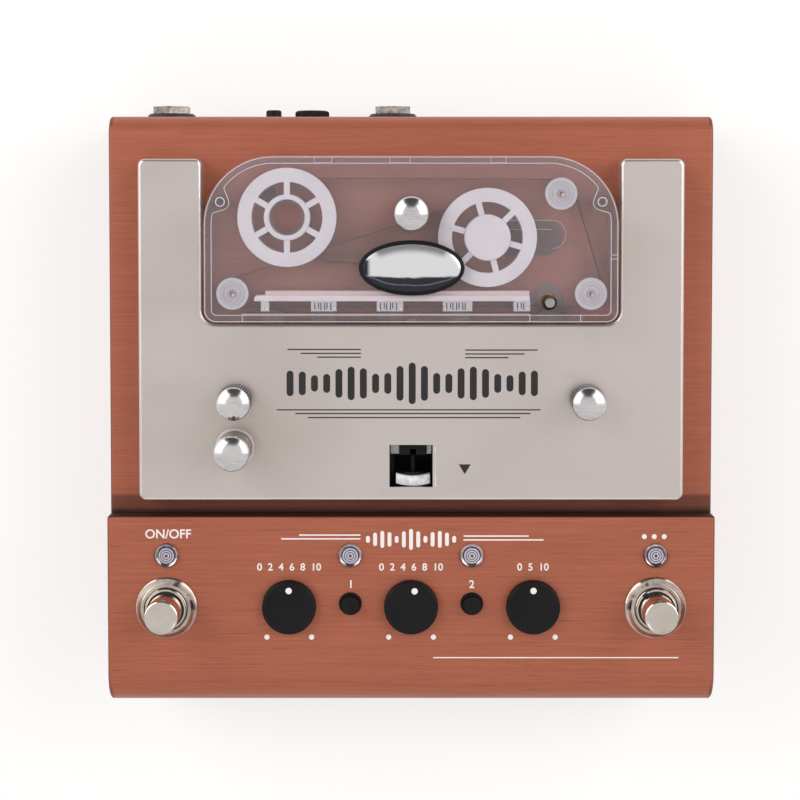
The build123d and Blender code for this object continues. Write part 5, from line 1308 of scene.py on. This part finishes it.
# floor, lights and camera
def makeFloor():
    look = {"size": 4.0, "colour": tone(252, 251, 250), "glow": 0.6}
    mesh = bpy.data.meshes.new("floor")
    plane = bmesh.new()
    bmesh.ops.create_grid(plane, x_segments=1, y_segments=1, size=look["size"])
    plane.to_mesh(mesh)
    plane.free()
    floor = bpy.data.objects.new("floor", mesh)
    bpy.context.scene.collection.objects.link(floor)
    finish = Finish("floor_white", Roughness=0.9, Base_Color=look["colour"])
    camera, glossy, through = (
        finish.node("ShaderNodeLightPath", {}, {}, f"Is {ray} Ray")
        for ray in ("Camera", "Glossy", "Transmission")
    )
    white = finish.node("ShaderNodeEmission", {}, {"Color": (1, 1, 1, 1), "Strength": 1})
    finish.blend((camera + glossy + through) * look["glow"], 2, white)
    mesh.materials.append(finish.material)


def makeWorld():
    # a pale room with a bright panel at each side and a dark doorway behind the unit
    look = {"room": 0.77, "panel": 2.2, "doorway": 0.07, "tint": (1.0, 0.985, 0.965, 1), "widens": 0.62}
    world = bpy.data.worlds.new("studio")
    bpy.context.scene.world = world
    world.use_nodes = True
    studio = Nodes(world.node_tree, "Generated")
    x, y, z = (studio.axis(name) for name in "XYZ")
    side, soft = abs(x), "SMOOTHSTEP"
    # the doorway widens towards the horizon
    doorway = studio.rise(side - y * look["widens"], 0.03, -0.05, soft)
    doorway = doorway * studio.rise(y, 0.24, 0.42, soft) * studio.rise(z, 0.16, 0.26, soft)
    panel = studio.rise(side, 0.46, 0.56, soft) * studio.rise(z, 0.14, 0.22, soft)
    panel = panel * studio.rise(y, -0.12, 0.02, soft)
    light = look["room"] + panel * (look["panel"] - look["room"])
    light = light - doorway * (look["room"] - look["doorway"])
    shade = studio.tree.nodes["Background"]
    shade.inputs["Color"].default_value = look["tint"]
    studio.tree.links.new(light.socket, shade.inputs["Strength"])


def makeLamps():
    # name, place in metres, size, power
    for name, place, size, power in (
        ("key_left", (-0.85, 0.55, 1.05), 0.7, 3.2),
        ("key_right", (0.85, 0.45, 1.05), 0.7, 2.8),
    ):
        lamp = bpy.data.lights.new(name, "AREA")
        lamp.size, lamp.energy = size, power
        holder = bpy.data.objects.new(name, lamp)
        holder.location = place
        holder.rotation_euler = Vector(place).to_track_quat("Z", "Y").to_euler()
        bpy.context.scene.collection.objects.link(holder)


def makeCamera():
    # the unit is seen from above and a little behind its middle; the shift frames it as if squared up
    look = {
        "x": -4.0, "back": 186.50, "height": 736.29, "tilt": -2.445, "lens": 84.55, "sensor": 36,
        "shiftUp": -0.16,
    }
    lens = bpy.data.cameras.new("camera")
    lens.lens, lens.sensor_width, lens.shift_y = look["lens"], look["sensor"], look["shiftUp"]
    lens.clip_start = 0.01
    camera = bpy.data.objects.new("camera", lens)
    camera.location = Vector((look["x"], caseFront + look["back"], look["height"])) * mm
    camera.rotation_euler = (radians(look["tilt"]), 0, 0)
    bpy.context.scene.collection.objects.link(camera)
    bpy.context.scene.camera = camera


makeFloor()
makeWorld()
makeLamps()
makeCamera()
bpy.context.scene.view_settings.view_transform = "Standard"
print("stage, lights and camera made")
